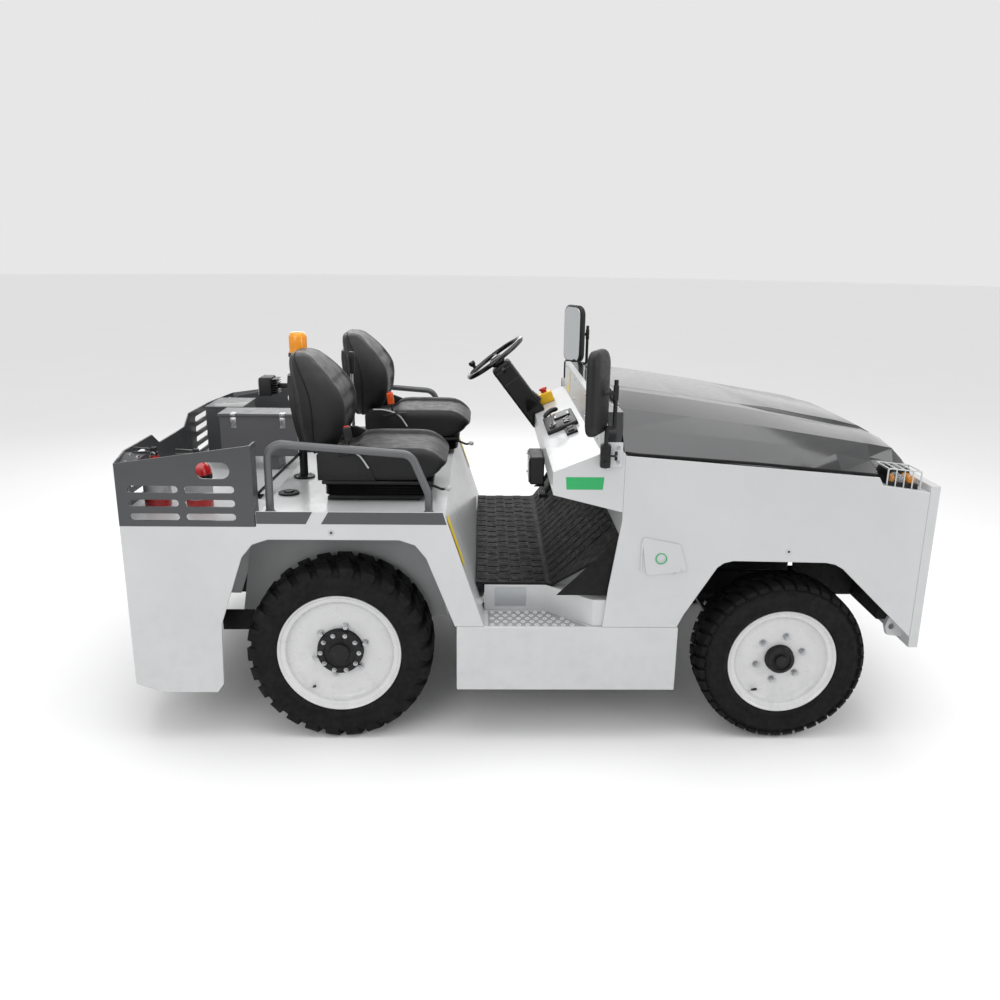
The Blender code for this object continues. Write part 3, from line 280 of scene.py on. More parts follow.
def addNode(tree, kind, links=None, inputs=None, **settings):
    node = tree.nodes.new(kind)
    for key, value in settings.items():
        setattr(node, key, value)
    for key, value in (inputs or {}).items():
        node.inputs[key].default_value = value
    for key, source in (links or {}).items():
        tree.links.new(source, node.inputs[key])
    return node


def colour(hexText):
    # sRGB hex to linear
    channels = [int(hexText[i:i + 2], 16) / 255 for i in (1, 3, 5)]
    return tuple(c / 12.92 if c <= 0.04045 else ((c + 0.055) / 1.055) ** 2.4 for c in channels) + (1.0,)


def newMaterial(name, **constants):
    material = bpy.data.materials.new(name)
    material.use_nodes = True
    tree = material.node_tree
    shader = tree.nodes["Principled BSDF"]
    for key, value in constants.items():
        shader.inputs[key.replace("_", " ")].default_value = value
    place = addNode(tree, "ShaderNodeTexCoord").outputs["Object"]
    return material, tree, shader, place


def noise(tree, place, millimetres, detail=3.0, roughness=0.55):
    # grains of about this size
    return addNode(tree, "ShaderNodeTexNoise", {"Vector": place},
                   {"Scale": 1000.0 / millimetres, "Detail": detail, "Roughness": roughness}).outputs["Fac"]


def between(tree, factor, low, high, start=0.35, end=0.65):
    return addNode(tree, "ShaderNodeMapRange", {"Value": factor},
                   {"From Min": start, "From Max": end, "To Min": low, "To Max": high}).outputs["Result"]


def tinted(tree, factor, first, second):
    mix = addNode(tree, "ShaderNodeMix", data_type="RGBA")
    mix.inputs[6].default_value = colour(first)
    mix.inputs[7].default_value = colour(second)
    tree.links.new(factor, mix.inputs[0])
    return mix.outputs[2]


def relief(tree, shader, height, depth, strength=1.0):
    # depth in metres
    bump = addNode(tree, "ShaderNodeBump", {"Height": height}, {"Distance": depth, "Strength": strength})
    tree.links.new(bump.outputs["Normal"], shader.inputs["Normal"])


def enamel(name, base, shade, rough=(0.28, 0.40), peel=0.00006, coat=0.25, metal=0.0):
    # sprayed enamel on steel: a faint orange peel, a soft clear gloss and a little dust in the low parts
    material, tree, shader, place = newMaterial(name, Metallic=metal, Coat_Weight=coat, Coat_Roughness=0.12)
    cloud = noise(tree, place, 420, 4)
    dust = between(tree, noise(tree, place, 60, 5), 0.0, 1.0, 0.45, 0.75)
    low = addNode(tree, "ShaderNodeSeparateXYZ", {"Vector": place}).outputs["Z"]
    near = between(tree, low, 0.55, 0.05, 0.2, 0.9)
    both = addNode(tree, "ShaderNodeMath", {0: dust, 1: near}, operation="MULTIPLY").outputs[0]
    mixed = addNode(tree, "ShaderNodeMath", {0: both, 1: between(tree, cloud, 0.0, 0.35)}, operation="ADD").outputs[0]
    tree.links.new(tinted(tree, mixed, base, shade), shader.inputs["Base Color"])
    tree.links.new(between(tree, noise(tree, place, 35, 4), *rough), shader.inputs["Roughness"])
    relief(tree, shader, noise(tree, place, 2.5, 2), peel)
    return material


def powderCoat(name, base, shade, rough=(0.42, 0.55), grain=1.2, depth=0.00012):
    # baked powder: satin, with a fine even grain
    material, tree, shader, place = newMaterial(name, Specular_IOR_Level=0.35)
    tree.links.new(tinted(tree, between(tree, noise(tree, place, 90, 4), 0.0, 1.0), base, shade), shader.inputs["Base Color"])
    tree.links.new(between(tree, noise(tree, place, 18, 3), *rough), shader.inputs["Roughness"])
    relief(tree, shader, noise(tree, place, grain, 2), depth)
    return material


def mouldedPlastic(name, base, shade, rough=(0.38, 0.5), grain=0.8, depth=0.00008, coat=0.0):
    # injection moulded plastic: an etched fine texture that breaks up the highlight
    material, tree, shader, place = newMaterial(name, Coat_Weight=coat, Specular_IOR_Level=0.35)
    cells = addNode(tree, "ShaderNodeTexVoronoi", {"Vector": place}, {"Scale": 1000.0 / (grain * 1.6)}).outputs["Distance"]
    tree.links.new(tinted(tree, between(tree, noise(tree, place, 70, 3), 0.0, 1.0), base, shade), shader.inputs["Base Color"])
    tree.links.new(between(tree, noise(tree, place, 12, 3), *rough), shader.inputs["Roughness"])
    relief(tree, shader, cells, depth)
    return material


def vulcanised(name, base, dusty, grain=3.0, depth=0.00025, rough=(0.62, 0.85)):
    # moulded rubber: matt, greyed by bloom and dust in patches
    material, tree, shader, place = newMaterial(name, Specular_IOR_Level=0.2)
    patch = between(tree, noise(tree, place, 110, 6, 0.65), 0.0, 1.0, 0.42, 0.72)
    tree.links.new(tinted(tree, patch, base, dusty), shader.inputs["Base Color"])
    tree.links.new(between(tree, noise(tree, place, 25, 4), *rough), shader.inputs["Roughness"])
    relief(tree, shader, noise(tree, place, grain, 4, 0.6), depth)
    return material


def grainedVinyl(name, base, shade):
    # upholstery vinyl: 2.4 mm leather grain of raised pebbles, soft sheen, roughness that varies in broad patches
    material, tree, shader, place = newMaterial(name, Sheen_Weight=0.04, Sheen_Roughness=0.4, Specular_IOR_Level=0.38)
    warp = addNode(tree, "ShaderNodeTexNoise", {"Vector": place}, {"Scale": 160.0, "Detail": 2.0}).outputs["Color"]
    bent = addNode(tree, "ShaderNodeMix", data_type="RGBA")
    bent.inputs[0].default_value = 0.012
    tree.links.new(place, bent.inputs[6])
    tree.links.new(warp, bent.inputs[7])
    cells = addNode(tree, "ShaderNodeTexVoronoi", {"Vector": bent.outputs[2]}, {"Scale": 420.0}, feature="DISTANCE_TO_EDGE").outputs["Distance"]
    pebbles = between(tree, cells, 0.0, 1.0, 0.0, 0.22)
    tree.links.new(tinted(tree, between(tree, noise(tree, place, 130, 5), 0.0, 1.0), base, shade), shader.inputs["Base Color"])
    tree.links.new(between(tree, noise(tree, place, 45, 4), 0.34, 0.5), shader.inputs["Roughness"])
    relief(tree, shader, pebbles, 0.00035, 0.8)
    return material


def plated(name, base, shade, rough=(0.18, 0.36)):
    # zinc plate on steel: bright, with faint drawn scratches
    material, tree, shader, place = newMaterial(name, Metallic=1.0)
    stretched = addNode(tree, "ShaderNodeMapping", {"Vector": place}, {"Scale": (1.0, 1.0, 0.06)}).outputs["Vector"]
    scratch = noise(tree, stretched, 1.5, 4)
    tree.links.new(tinted(tree, between(tree, noise(tree, place, 22, 4), 0.0, 1.0), base, shade), shader.inputs["Base Color"])
    tree.links.new(between(tree, scratch, *rough), shader.inputs["Roughness"])
    relief(tree, shader, scratch, 0.00003)
    return material


def lens(name, base, shade, transmission, rough, ribs=0.0, glow=0.0):
    # moulded clear plastic, with prism ribs inside
    material, tree, shader, place = newMaterial(name, Transmission_Weight=transmission, IOR=1.49, Roughness=rough,
                                                Coat_Weight=0.4, Coat_Roughness=0.04)
    tree.links.new(tinted(tree, between(tree, noise(tree, place, 40, 2), 0.0, 1.0), base, shade), shader.inputs["Base Color"])
    if glow:
        shader.inputs["Emission Color"].default_value = colour(base)
        shader.inputs["Emission Strength"].default_value = glow
    if ribs:
        wave = addNode(tree, "ShaderNodeTexWave", {"Vector": place}, {"Scale": 1000.0 / ribs / 6.28}, bands_direction="X").outputs["Fac"]
        relief(tree, shader, wave, 0.0008)
    else:
        relief(tree, shader, noise(tree, place, 8, 2), 0.0001)
    return material


whiteEnamel = enamel("white enamel on steel", "#BDBEBF", "#AEB0B1")
# the white body enamel darkened: painted shade for the insides of the rear wheel arches
shadowEnamel = enamel("light grey underseal", "#A4A5A6", "#8D8E90", (0.45, 0.6), 0.0003, 0.0)
rimEnamel = enamel("white wheel enamel", "#CACACA", "#BABBBB", (0.25, 0.35), 0.00005, 0.3)
cageEnamel = enamel("slate grey enamel", "#3A3B3D", "#303133", (0.34, 0.46))
bandEnamel = enamel("mid grey stripe film", "#404143", "#37383A", (0.36, 0.46), 0.00003)
hoodEnamel = enamel("graphite gloss enamel", "#252628", "#1F2022", (0.14, 0.24), 0.00003, 0.9, 0.35)
greyEnamel = enamel("handrail grey enamel", "#545557", "#48494B", (0.3, 0.42))
stepEnamel = enamel("grey step plate enamel", "#8F9092", "#828385", (0.35, 0.5))
boxEnamel = enamel("tool grey enamel", "#505153", "#464749", (0.4, 0.52))
blackCoat = powderCoat("black powder coat", "#0D0D0E", "#141415")
underCoat = powderCoat("dull black chassis paint", "#0B0B0B", "#161616", (0.55, 0.75), 2.5, 0.0003)
redEnamel = enamel("red cylinder enamel", "#B3191B", "#8E1214", (0.2, 0.3), 0.00004, 0.5)
yellowFilm = enamel("yellow marking film", "#E8C81E", "#D6B41A", (0.3, 0.4), 0.00002, 0.1)
greenFilm = enamel("green marking film", "#1E9E5A", "#178A4D", (0.3, 0.4), 0.00002, 0.1)
greyFilm = enamel("blank silver data plate", "#A9ACAE", "#9A9D9F", (0.28, 0.36), 0.00002, 0.1, 0.5)
blackPlastic = mouldedPlastic("black etched plastic", "#0C0C0D", "#121213")
glossPlastic = mouldedPlastic("black gloss plastic", "#080809", "#0D0D0E", (0.12, 0.2), 0.8, 0.00002, 0.4)
greyPlastic = mouldedPlastic("light grey knob plastic", "#B9BBBD", "#A5A7A9")
orangePlastic = mouldedPlastic("orange buckle plastic", "#D9541E", "#C24717", (0.25, 0.35), 0.8, 0.00003, 0.2)
redPlastic = mouldedPlastic("red button plastic", "#C2201C", "#A81A17", (0.2, 0.3), 0.8, 0.00002, 0.3)
yellowPlastic = mouldedPlastic("yellow switch plastic", "#E3B51B", "#D2A414", (0.25, 0.35), 0.8, 0.00003, 0.2)
tyreRubber = vulcanised("tyre rubber", "#0A0A0A", "#151515")
matRubber = vulcanised("ribbed floor rubber", "#0D0C0C", "#191818", 1.6, 0.0002, (0.5, 0.7))
sealRubber = vulcanised("black edge seal", "#090909", "#101010", 1.5, 0.0001, (0.45, 0.6))
seatVinyl = grainedVinyl("black grained vinyl", "#050506", "#0A0A0B")
zincSteel = plated("zinc plated steel", "#B9BBBD", "#9FA1A4")
darkSteel = plated("oiled dark steel", "#4A4B4D", "#36373A", (0.3, 0.5))
amberLens = lens("amber beacon plastic", "#F0A30A", "#E89406", 0.30, 0.12, 9.0, 0.10)
clearLens = lens("clear lamp plastic", "#EEF1F3", "#E2E6E8", 0.75, 0.05, 6.0)
amberLamp = lens("amber lamp plastic", "#F0A01A", "#E08C10", 0.4, 0.1, 6.0)
mirrorGlass, mirrorTree, mirrorShader, mirrorPlace = newMaterial("silvered mirror glass", Metallic=1.0, Coat_Weight=0.5, Coat_Roughness=0.02)
mirrorTree.links.new(tinted(mirrorTree, noise(mirrorTree, mirrorPlace, 300), "#C9CCCE", "#BFC2C4"), mirrorShader.inputs["Base Color"])
mirrorTree.links.new(between(mirrorTree, noise(mirrorTree, mirrorPlace, 80), 0.03, 0.07), mirrorShader.inputs["Roughness"])
print("materials made:", len(bpy.data.materials))


# ---- geometry node trees for what repeats ----

def newTree(name, sockets):
    tree = bpy.data.node_groups.new(name, "GeometryNodeTree")
    tree.interface.new_socket("Geometry", in_out="INPUT", socket_type="NodeSocketGeometry")
    for label, kind in sockets:
        tree.interface.new_socket(label, in_out="INPUT", socket_type="NodeSocket" + kind)
    tree.interface.new_socket("Geometry", in_out="OUTPUT", socket_type="NodeSocketGeometry")
    start = addNode(tree, "NodeGroupInput").outputs
    return tree, start


def endTree(tree, geometry, material):
    real = addNode(tree, "GeometryNodeRealizeInstances", {"Geometry": geometry}).outputs[0]
    painted = addNode(tree, "GeometryNodeSetMaterial", {"Geometry": real, "Material": material}).outputs[0]
    addNode(tree, "NodeGroupOutput", {"Geometry": painted})
    return tree


def headTree():
    # a hexagonal or round head with its washer on every point, standing along the point's facing
    tree, start = newTree("headsOnPoints", [("Radius", "Float"), ("Height", "Float"), ("Sides", "Int"),
                                             ("Washer", "Float"), ("Material", "Material")])
    washer = addNode(tree, "ShaderNodeMath", {0: start["Radius"], 1: start["Washer"]}, operation="MULTIPLY").outputs[0]
    thin = addNode(tree, "ShaderNodeMath", {0: start["Height"]}, {1: 0.2}, operation="MULTIPLY").outputs[0]
    crown = addNode(tree, "ShaderNodeMath", {0: start["Radius"]}, {1: 0.84}, operation="MULTIPLY").outputs[0]
    stub = addNode(tree, "ShaderNodeMath", {0: start["Radius"]}, {1: 0.45}, operation="MULTIPLY").outputs[0]
    tall = addNode(tree, "ShaderNodeMath", {0: start["Height"]}, {1: 1.25}, operation="MULTIPLY").outputs[0]
    parts = []
    for bottom, top, depth, sides in ((washer, washer, thin, None), (start["Radius"], crown, start["Height"], start["Sides"]),
                                      (stub, stub, tall, None)):
        cone = addNode(tree, "GeometryNodeMeshCone", {"Radius Bottom": bottom, "Radius Top": top, "Depth": depth}, {"Vertices": 14})
        if sides:
            tree.links.new(sides, cone.inputs["Vertices"])
        parts.append(cone.outputs["Mesh"])
    whole = addNode(tree, "GeometryNodeJoinGeometry")
    for part in parts:
        tree.links.new(part, whole.inputs[0])
    facing = addNode(tree, "GeometryNodeInputNamedAttribute", {}, {"Name": "facing"}, data_type="FLOAT_VECTOR").outputs["Attribute"]
    turn = addNode(tree, "FunctionNodeAlignRotationToVector", {"Vector": facing}, axis="Z").outputs["Rotation"]
    copies = addNode(tree, "GeometryNodeInstanceOnPoints", {"Points": start["Geometry"], "Instance": whole.outputs[0], "Rotation": turn})
    return endTree(tree, copies.outputs[0], start["Material"])


def roundTree():
    # turned copies of the given mesh about the origin's Z, an equal angle apart
    tree, start = newTree("copiesAroundAxle", [("Count", "Int"), ("Offset", "Float"), ("Material", "Material")])
    line = addNode(tree, "GeometryNodeMeshLine", {"Count": start["Count"]}, {"Offset": (0.0, 0.0, 0.0)}).outputs["Mesh"]
    index = addNode(tree, "GeometryNodeInputIndex").outputs[0]
    shifted = addNode(tree, "ShaderNodeMath", {0: index, 1: start["Offset"]}, operation="ADD").outputs[0]
    share = addNode(tree, "ShaderNodeMath", {0: shifted, 1: start["Count"]}, operation="DIVIDE").outputs[0]
    angle = addNode(tree, "ShaderNodeMath", {0: share}, {1: 2 * math.pi}, operation="MULTIPLY").outputs[0]
    turn = addNode(tree, "ShaderNodeCombineXYZ", {"Z": angle}).outputs[0]
    copies = addNode(tree, "GeometryNodeInstanceOnPoints", {"Points": line, "Instance": start["Geometry"], "Rotation": turn})
    return endTree(tree, copies.outputs[0], start["Material"])


def unitTree():
    # the unit object on every point, turned so that its Z is the point's facing
    tree, start = newTree("unitsOnPoints", [("Unit", "Object"), ("Scale", "Float"), ("Material", "Material")])
    unit = addNode(tree, "GeometryNodeObjectInfo", {"Object": start["Unit"]}).outputs["Geometry"]
    facing = addNode(tree, "GeometryNodeInputNamedAttribute", {}, {"Name": "facing"}, data_type="FLOAT_VECTOR").outputs["Attribute"]
    turn = addNode(tree, "FunctionNodeAlignRotationToVector", {"Vector": facing}, axis="Z").outputs["Rotation"]
    copies = addNode(tree, "GeometryNodeInstanceOnPoints",
                     {"Points": start["Geometry"], "Instance": unit, "Rotation": turn, "Scale": start["Scale"]})
    return endTree(tree, copies.outputs[0], start["Material"])


headsOnPoints, copiesAroundAxle, unitsOnPoints = headTree(), roundTree(), unitTree()


def grown(name, mesh, tree, values, body, matrix=None, replaced=()):
    # the tree run on a mesh, as a plain mesh that rides on the body
    piece = link(name, mesh)
    modifier = piece.modifiers.new("grown", "NODES")
    modifier.node_group = tree
    for item in tree.interface.items_tree:
        if item.in_out == "INPUT" and item.name in values:
            modifier[item.identifier] = values[item.name]
    bpy.context.view_layer.update()
    mesh = bpy.data.meshes.new_from_object(piece.evaluated_get(bpy.context.evaluated_depsgraph_get()))
    mesh.name = name
    piece.modifiers.clear()
    piece.data = mesh
    if matrix:
        mesh.transform(matrix)
    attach(piece, body)
    for node in replaced:
        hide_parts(node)
    return piece


def pointMesh(points):
    # points with the way each one faces
    mesh = bpy.data.meshes.new("points")
    mesh.from_pydata([place for place, facing in points], [], [])
    facing = mesh.attributes.new("facing", "FLOAT_VECTOR", "POINT")
    for i, (place, way) in enumerate(points):
        facing.data[i].vector = way
    return mesh


def heads(name, points, radius, height, material, body="chassis", sides=6, washer=1.35):
    return grown(name, pointMesh(points), headsOnPoints,
                 {"Radius": radius, "Height": height, "Sides": sides, "Washer": washer, "Material": material}, body)


def units(name, points, build, material, body="chassis", scale=1.0, smoothAngle=40):
    work = bmesh.new()
    build(work)
    unit = bpy.data.objects.new(name + "Unit", meshFrom(name + "Unit", work, smoothAngle))
    piece = grown(name, pointMesh(points), unitsOnPoints, {"Unit": unit, "Scale": scale, "Material": material}, body)
    bpy.data.objects.remove(unit, do_unlink=True)
    return piece


def size(node):
    low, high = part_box(node)
    return low, high, (low + high) / 2


# ---- camera, light and floor ----

view = {"place": (-0.113, -4.429, 2.108), "lens": 32.4, "down": 15.850, "turn": 1.278, "roll": 0.712}


def makeStage():
    down, turn, roll = (math.radians(view[key]) for key in ("down", "turn", "roll"))
    ahead = Vector((math.sin(turn) * math.cos(down), math.cos(turn) * math.cos(down), -math.sin(down)))
    right = Vector((math.cos(turn), -math.sin(turn), 0))
    up = right.cross(ahead)
    right, up = (math.cos(roll) * right + math.sin(roll) * up, math.cos(roll) * up - math.sin(roll) * right)
    data = bpy.data.cameras.new("camera")
    data.lens, data.sensor_width = view["lens"], 36.0
    camera = bpy.data.objects.new("camera", data)
    bpy.context.scene.collection.objects.link(camera)
    camera.matrix_world = Matrix.Translation(view["place"]) @ Matrix((right, up, -ahead)).transposed().to_4x4()
    bpy.context.scene.camera = camera

    for name, place, size, power, aim in (
        ("overhead", (0.2, -0.4, 4.6), (5.5, 4.0), 120, (0, 0, 0.6)),
        ("nearSide", (-2.6, -5.2, 3.2), (3.5, 2.5), 70, (0, 0, 0.7)),
        ("frontSide", (4.8, -2.6, 2.6), (2.5, 2.5), 45, (0.4, 0, 0.8)),
        ("behind", (-1.0, 5.0, 3.4), (4.5, 2.0), 70, (0, 0, 0.8)),
    ):
        lamp = bpy.data.lights.new(name, "AREA")
        lamp.shape = "RECTANGLE"
        lamp.size, lamp.size_y = size
        lamp.energy = power
        lampObject = bpy.data.objects.new(name, lamp)
        bpy.context.scene.collection.objects.link(lampObject)
        lampObject.location = place
        lampObject.rotation_mode = "QUATERNION"
        lampObject.rotation_quaternion = (Vector(aim) - Vector(place)).to_track_quat("-Z", "Y")

    world = bpy.context.scene.world or bpy.data.worlds.new("studio")
    bpy.context.scene.world = world
    world.use_nodes = True
    sky = world.node_tree.nodes["Background"]
    sky.inputs["Color"].default_value = (1.0, 1.0, 1.0, 1.0)
    sky.inputs["Strength"].default_value = 0.80
    bpy.context.scene.view_settings.view_transform = "Standard"

    floorPaint, tree, shader, place = newMaterial("pale studio floor", Roughness=0.75, Specular_IOR_Level=0.2)
    tree.links.new(tinted(tree, noise(tree, place, 900), "#F8F8F8", "#F5F5F5"), shader.inputs["Base Color"])
    work = bmesh.new()
    bmesh.ops.create_circle(work, cap_ends=True, segments=96, radius=60.0)
    for vert in work.verts:
        vert.co.z = -0.002
    floor = link("studioFloor", meshFrom("studioFloor", work, 0), floorPaint)


makeStage()
print("camera, lights and floor made")


# ---- wheels ----

wheelStyle = {
    "rear": {"lugs": 26, "share": 0.60, "depth": 0.019, "slant": 0.42, "sideLug": 0.052, "bolts": 6, "boltRing": 0.113, "hub": 0.097},
    "front": {"lugs": 40, "share": 0.70, "depth": 0.012, "slant": 0.55, "sideLug": 0.026, "bolts": 6, "boltRing": 0.104, "hub": 0.060},
}


def tyreProfile(radius, flange, half, depth):
    # half of the outline from the bead to the tread, outer side first
    side = [
        (flange - 0.016, half - 0.026), (flange + 0.001, half - 0.024), (flange + 0.001, half - 0.010), (flange + 0.006, half - 0.005),
        (flange + 0.014, half - 0.003), (flange + 0.018, half - 0.0005), (flange + 0.022, half - 0.0005), (flange + 0.025, half - 0.003),
        (flange + 0.050, half - 0.0005), (radius - 0.062, half - 0.001), (radius - 0.058, half + 0.000), (radius - 0.052, half - 0.001),
        (radius - depth - 0.016, half - 0.012), (radius - depth - 0.004, half - 0.024), (radius - depth, half - 0.040),
    ]
    return side + [(r, -z) for r, z in reversed(side)]


def addLug(work, radius, half, style, side, phase):
    # one tread bar from near the middle over the shoulder and down the sidewall
    pitch = 2 * math.pi / style["lugs"]
    wide = pitch * style["share"] / 2
    base = radius - style["depth"] - 0.006
    stations = [
        (0.006, radius - 0.0005, base, 1.00), (half * 0.30, radius, base, 0.95), (half * 0.62, radius - 0.001, base, 0.95),
        (half - 0.030, radius - 0.004, base - 0.004, 1.0), (half - 0.012, radius - 0.010, base - 0.012, 1.05),
        (half - 0.003, radius - 0.022, radius - 0.050, 1.05), (half - 0.0005, radius - style["sideLug"], radius - style["sideLug"] - 0.004, 0.9),
    ]
    rings = []
    for i, (z, top, low, spread) in enumerate(stations):
        angle = phase + pitch * style["slant"] * (1 - z / half) * side
        under = z if i < 5 else z - 0.010
        ring = []
        for offset, r, depth in ((-wide * spread, top, z), (wide * spread, top, z), (wide * spread * 1.12, low, under), (-wide * spread * 1.12, low, under)):
            ring.append(work.verts.new((r * math.cos(angle + offset), r * math.sin(angle + offset), side * depth)))
        rings.append(ring)
    for low, high in zip(rings, rings[1:]):
        for k in range(4):
            work.faces.new((low[k], low[(k + 1) % 4], high[(k + 1) % 4], high[k]))
    work.faces.new(rings[0])
    work.faces.new(rings[-1])


def makeWheel(end, sideName, sign):
    style = wheelStyle[end]
    tyre, rim = f"{end}_{sideName}_tyre", f"{end}_{sideName}_rim"
    body = bodyOf[tyre]
    low, high, centre = size(tyre)
    radius, half = (high.z - low.z) / 2, (high.y - low.y) / 2
    rimLow, rimHigh, rimCentre = size(rim)
    flange = (rimHigh.z - rimLow.z) / 2
    place = Matrix.Translation(centre) @ turnTo((0, sign, 0))
    work = bmesh.new()
    addLathe(work, tyreProfile(radius, flange, half, style["depth"]), Matrix.Identity(4), 96, True)
    carcass = link(f"{end}{sideName.title()}Carcass", meshFrom("carcass", work, 50), tyreRubber)
    carcass.data.transform(place)
    finished(carcass, body, [tyre])
    work = bmesh.new()
    addLug(work, radius, half, style, 1, 0.0)
    addLug(work, radius, half, style, -1, math.pi / style["lugs"])
    tread = meshFrom("tread", work, 30)
    grown(f"{end}{sideName.title()}Tread", tread, copiesAroundAxle,
          {"Count": style["lugs"], "Offset": 0.0, "Material": tyreRubber}, body, place)

    out, disc, hub = half - 0.010, half - 0.055, style["hub"]
    seat, barrel = flange - 0.018, flange - 0.030
    profile = [
        (0, disc), (barrel - 0.040, disc), (barrel - 0.022, disc + 0.003), (barrel - 0.010, disc + 0.012), (barrel - 0.004, disc + 0.026),
        (barrel - 0.003, out - 0.016), (barrel + 0.006, out - 0.012), (seat + 0.002, out - 0.010), (flange - 0.012, out - 0.004),
        (flange - 0.006, out), (flange - 0.002, out - 0.001), (flange, out - 0.006), (flange - 0.001, out - 0.013), (seat - 0.001, out - 0.014),
        (seat - 0.001, 0.014 - out), (flange - 0.001, 0.014 - out), (flange, 0.004 - out), (flange - 0.004, -out), (barrel, -out),
        (barrel, disc - 0.016), (barrel - 0.030, disc - 0.012), (0, disc - 0.012),
    ]
    made(f"{end}{sideName.title()}Rim", lambda work: addLathe(work, profile, place, 96), rimEnamel, body, "white_paint", [rim], 40)
    top = disc + 0.0415
    cap = [(hub + 0.004, disc), (hub + 0.004, disc + 0.006), (hub, disc + 0.009), (hub, top - 0.012), (hub - 0.006, top - 0.006),
           (hub * 0.72, top - 0.005), (hub * 0.70, top - 0.012), (hub * 0.45, top - 0.013), (hub * 0.42, top - 0.002), (hub * 0.36, top), (0, top)]
    made(f"{end}{sideName.title()}Hub", lambda work: addLathe(work, cap, place, 48), underCoat, body, None, (), 30)

    def ringPoints(count, reach, height, start=0.0):
        way = place.to_3x3() @ Vector((0, 0, 1))
        return [(place @ Vector((reach * math.cos(t), reach * math.sin(t), height)), way)
                for t in (start + 2 * math.pi * i / count for i in range(count))]
    heads(f"{end}{sideName.title()}WheelNuts", ringPoints(6, style["boltRing"], disc, 0.30), 0.0135, 0.017, zincSteel, body, 6, 1.3)
    if end == "rear":
        heads(f"rear{sideName.title()}HubBolts", ringPoints(10, hub * 0.86, top - 0.006), 0.0085, 0.009, zincSteel, body, 6, 1.2)
    stem = [(0.0045, 0), (0.0045, 0.018), (0.006, 0.019), (0.006, 0.034), (0.003, 0.036), (0, 0.036)]
    spot = place @ Matrix.Translation((math.cos(4.1) * (barrel - 0.018), math.sin(4.1) * (barrel - 0.018), disc)) @ turnTo((-math.cos(4.1), -math.sin(4.1), 1.2))
    made(f"{end}{sideName.title()}Valve", lambda work: addLathe(work, stem, spot, 12), darkSteel, body)


for end in ("front", "rear"):
    for sideName, sign in (("left", 1), ("right", -1)):
        makeWheel(end, sideName, sign)
print("wheels made")


# ---- steel body ----

bodyFinish = {
    "rear_body": ("rearBody", whiteEnamel, 0.003), "front_body": ("frontBody", whiteEnamel, 0.003), "front_bumper": ("bumperPlate", whiteEnamel, 0.004),
    "floor_pan": ("floorPan", whiteEnamel, 0.002), "left_side_step": ("leftStepBox", whiteEnamel, 0.004), "right_side_step": ("rightStepBox", whiteEnamel, 0.004),
    "charge_flap": ("chargeFlapLid", whiteEnamel, 0.0015), "rear_cage": ("rearCage", cageEnamel, 0.0012), "rear_locker": ("rearLocker", cageEnamel, 0.003),
    "toolbox": ("toolboxShell", boxEnamel, 0.0012), "toolbox_lid": ("toolboxLid", boxEnamel, 0.003), "tow_hitch": ("towJaw", underCoat, 0.003),
    "tow_pin": ("towPin", zincSteel, 0.003), "chassis_frame": ("frameRails", underCoat, 0.004), "rear_axle": ("rearAxleCase", underCoat, 0.005),
    "front_axle": ("frontAxleBeam", underCoat, 0.005), "left_knuckle": ("leftKnuckle", underCoat, 0.003), "right_knuckle": ("rightKnuckle", underCoat, 0.003),
    "tie_rod": ("tieRod", darkSteel, 0.001), "battery_block": ("batteryCase", blackPlastic, 0.008), "dashboard": ("dashPanel", whiteEnamel, 0.005),
    "cowl_top": ("cowlTop", hoodEnamel, 0.003), "relay_box": ("relayBox", blackPlastic, 0.006), "pedals": ("pedalSet", blackCoat, 0.002),
    "steering_column": ("columnCover", blackPlastic, 0.012), "beacon_pole": ("beaconPole", blackCoat, 0.0015),
}
for node, (name, material, width) in bodyFinish.items():
    dressed(node, name, material, width)
dressed("hood", "hoodPanel", hoodEnamel, 0.006, 3, 6)
print("steel panels dressed")

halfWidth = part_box("front_bumper")[1].y
cageLow, cageHigh, cageCentre = size("rear_cage")
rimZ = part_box("rear_body")[1].z
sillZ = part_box("right_side_step")[1].z
axleX = {end: size(f"{end}_left_tyre")[2].x for end in ("front", "rear")}


def sideFilm(name, outline, material, sign, lift=0.0002, thick=0.0006, reach=None):
    # a flat mark on the side of the body
    y = sign * ((reach or halfWidth) + lift)
    ends = sorted((y, y + sign * thick))
    return made(name, lambda work: addPrism(work, outline, ends[0], ends[1], "XZ"), material)


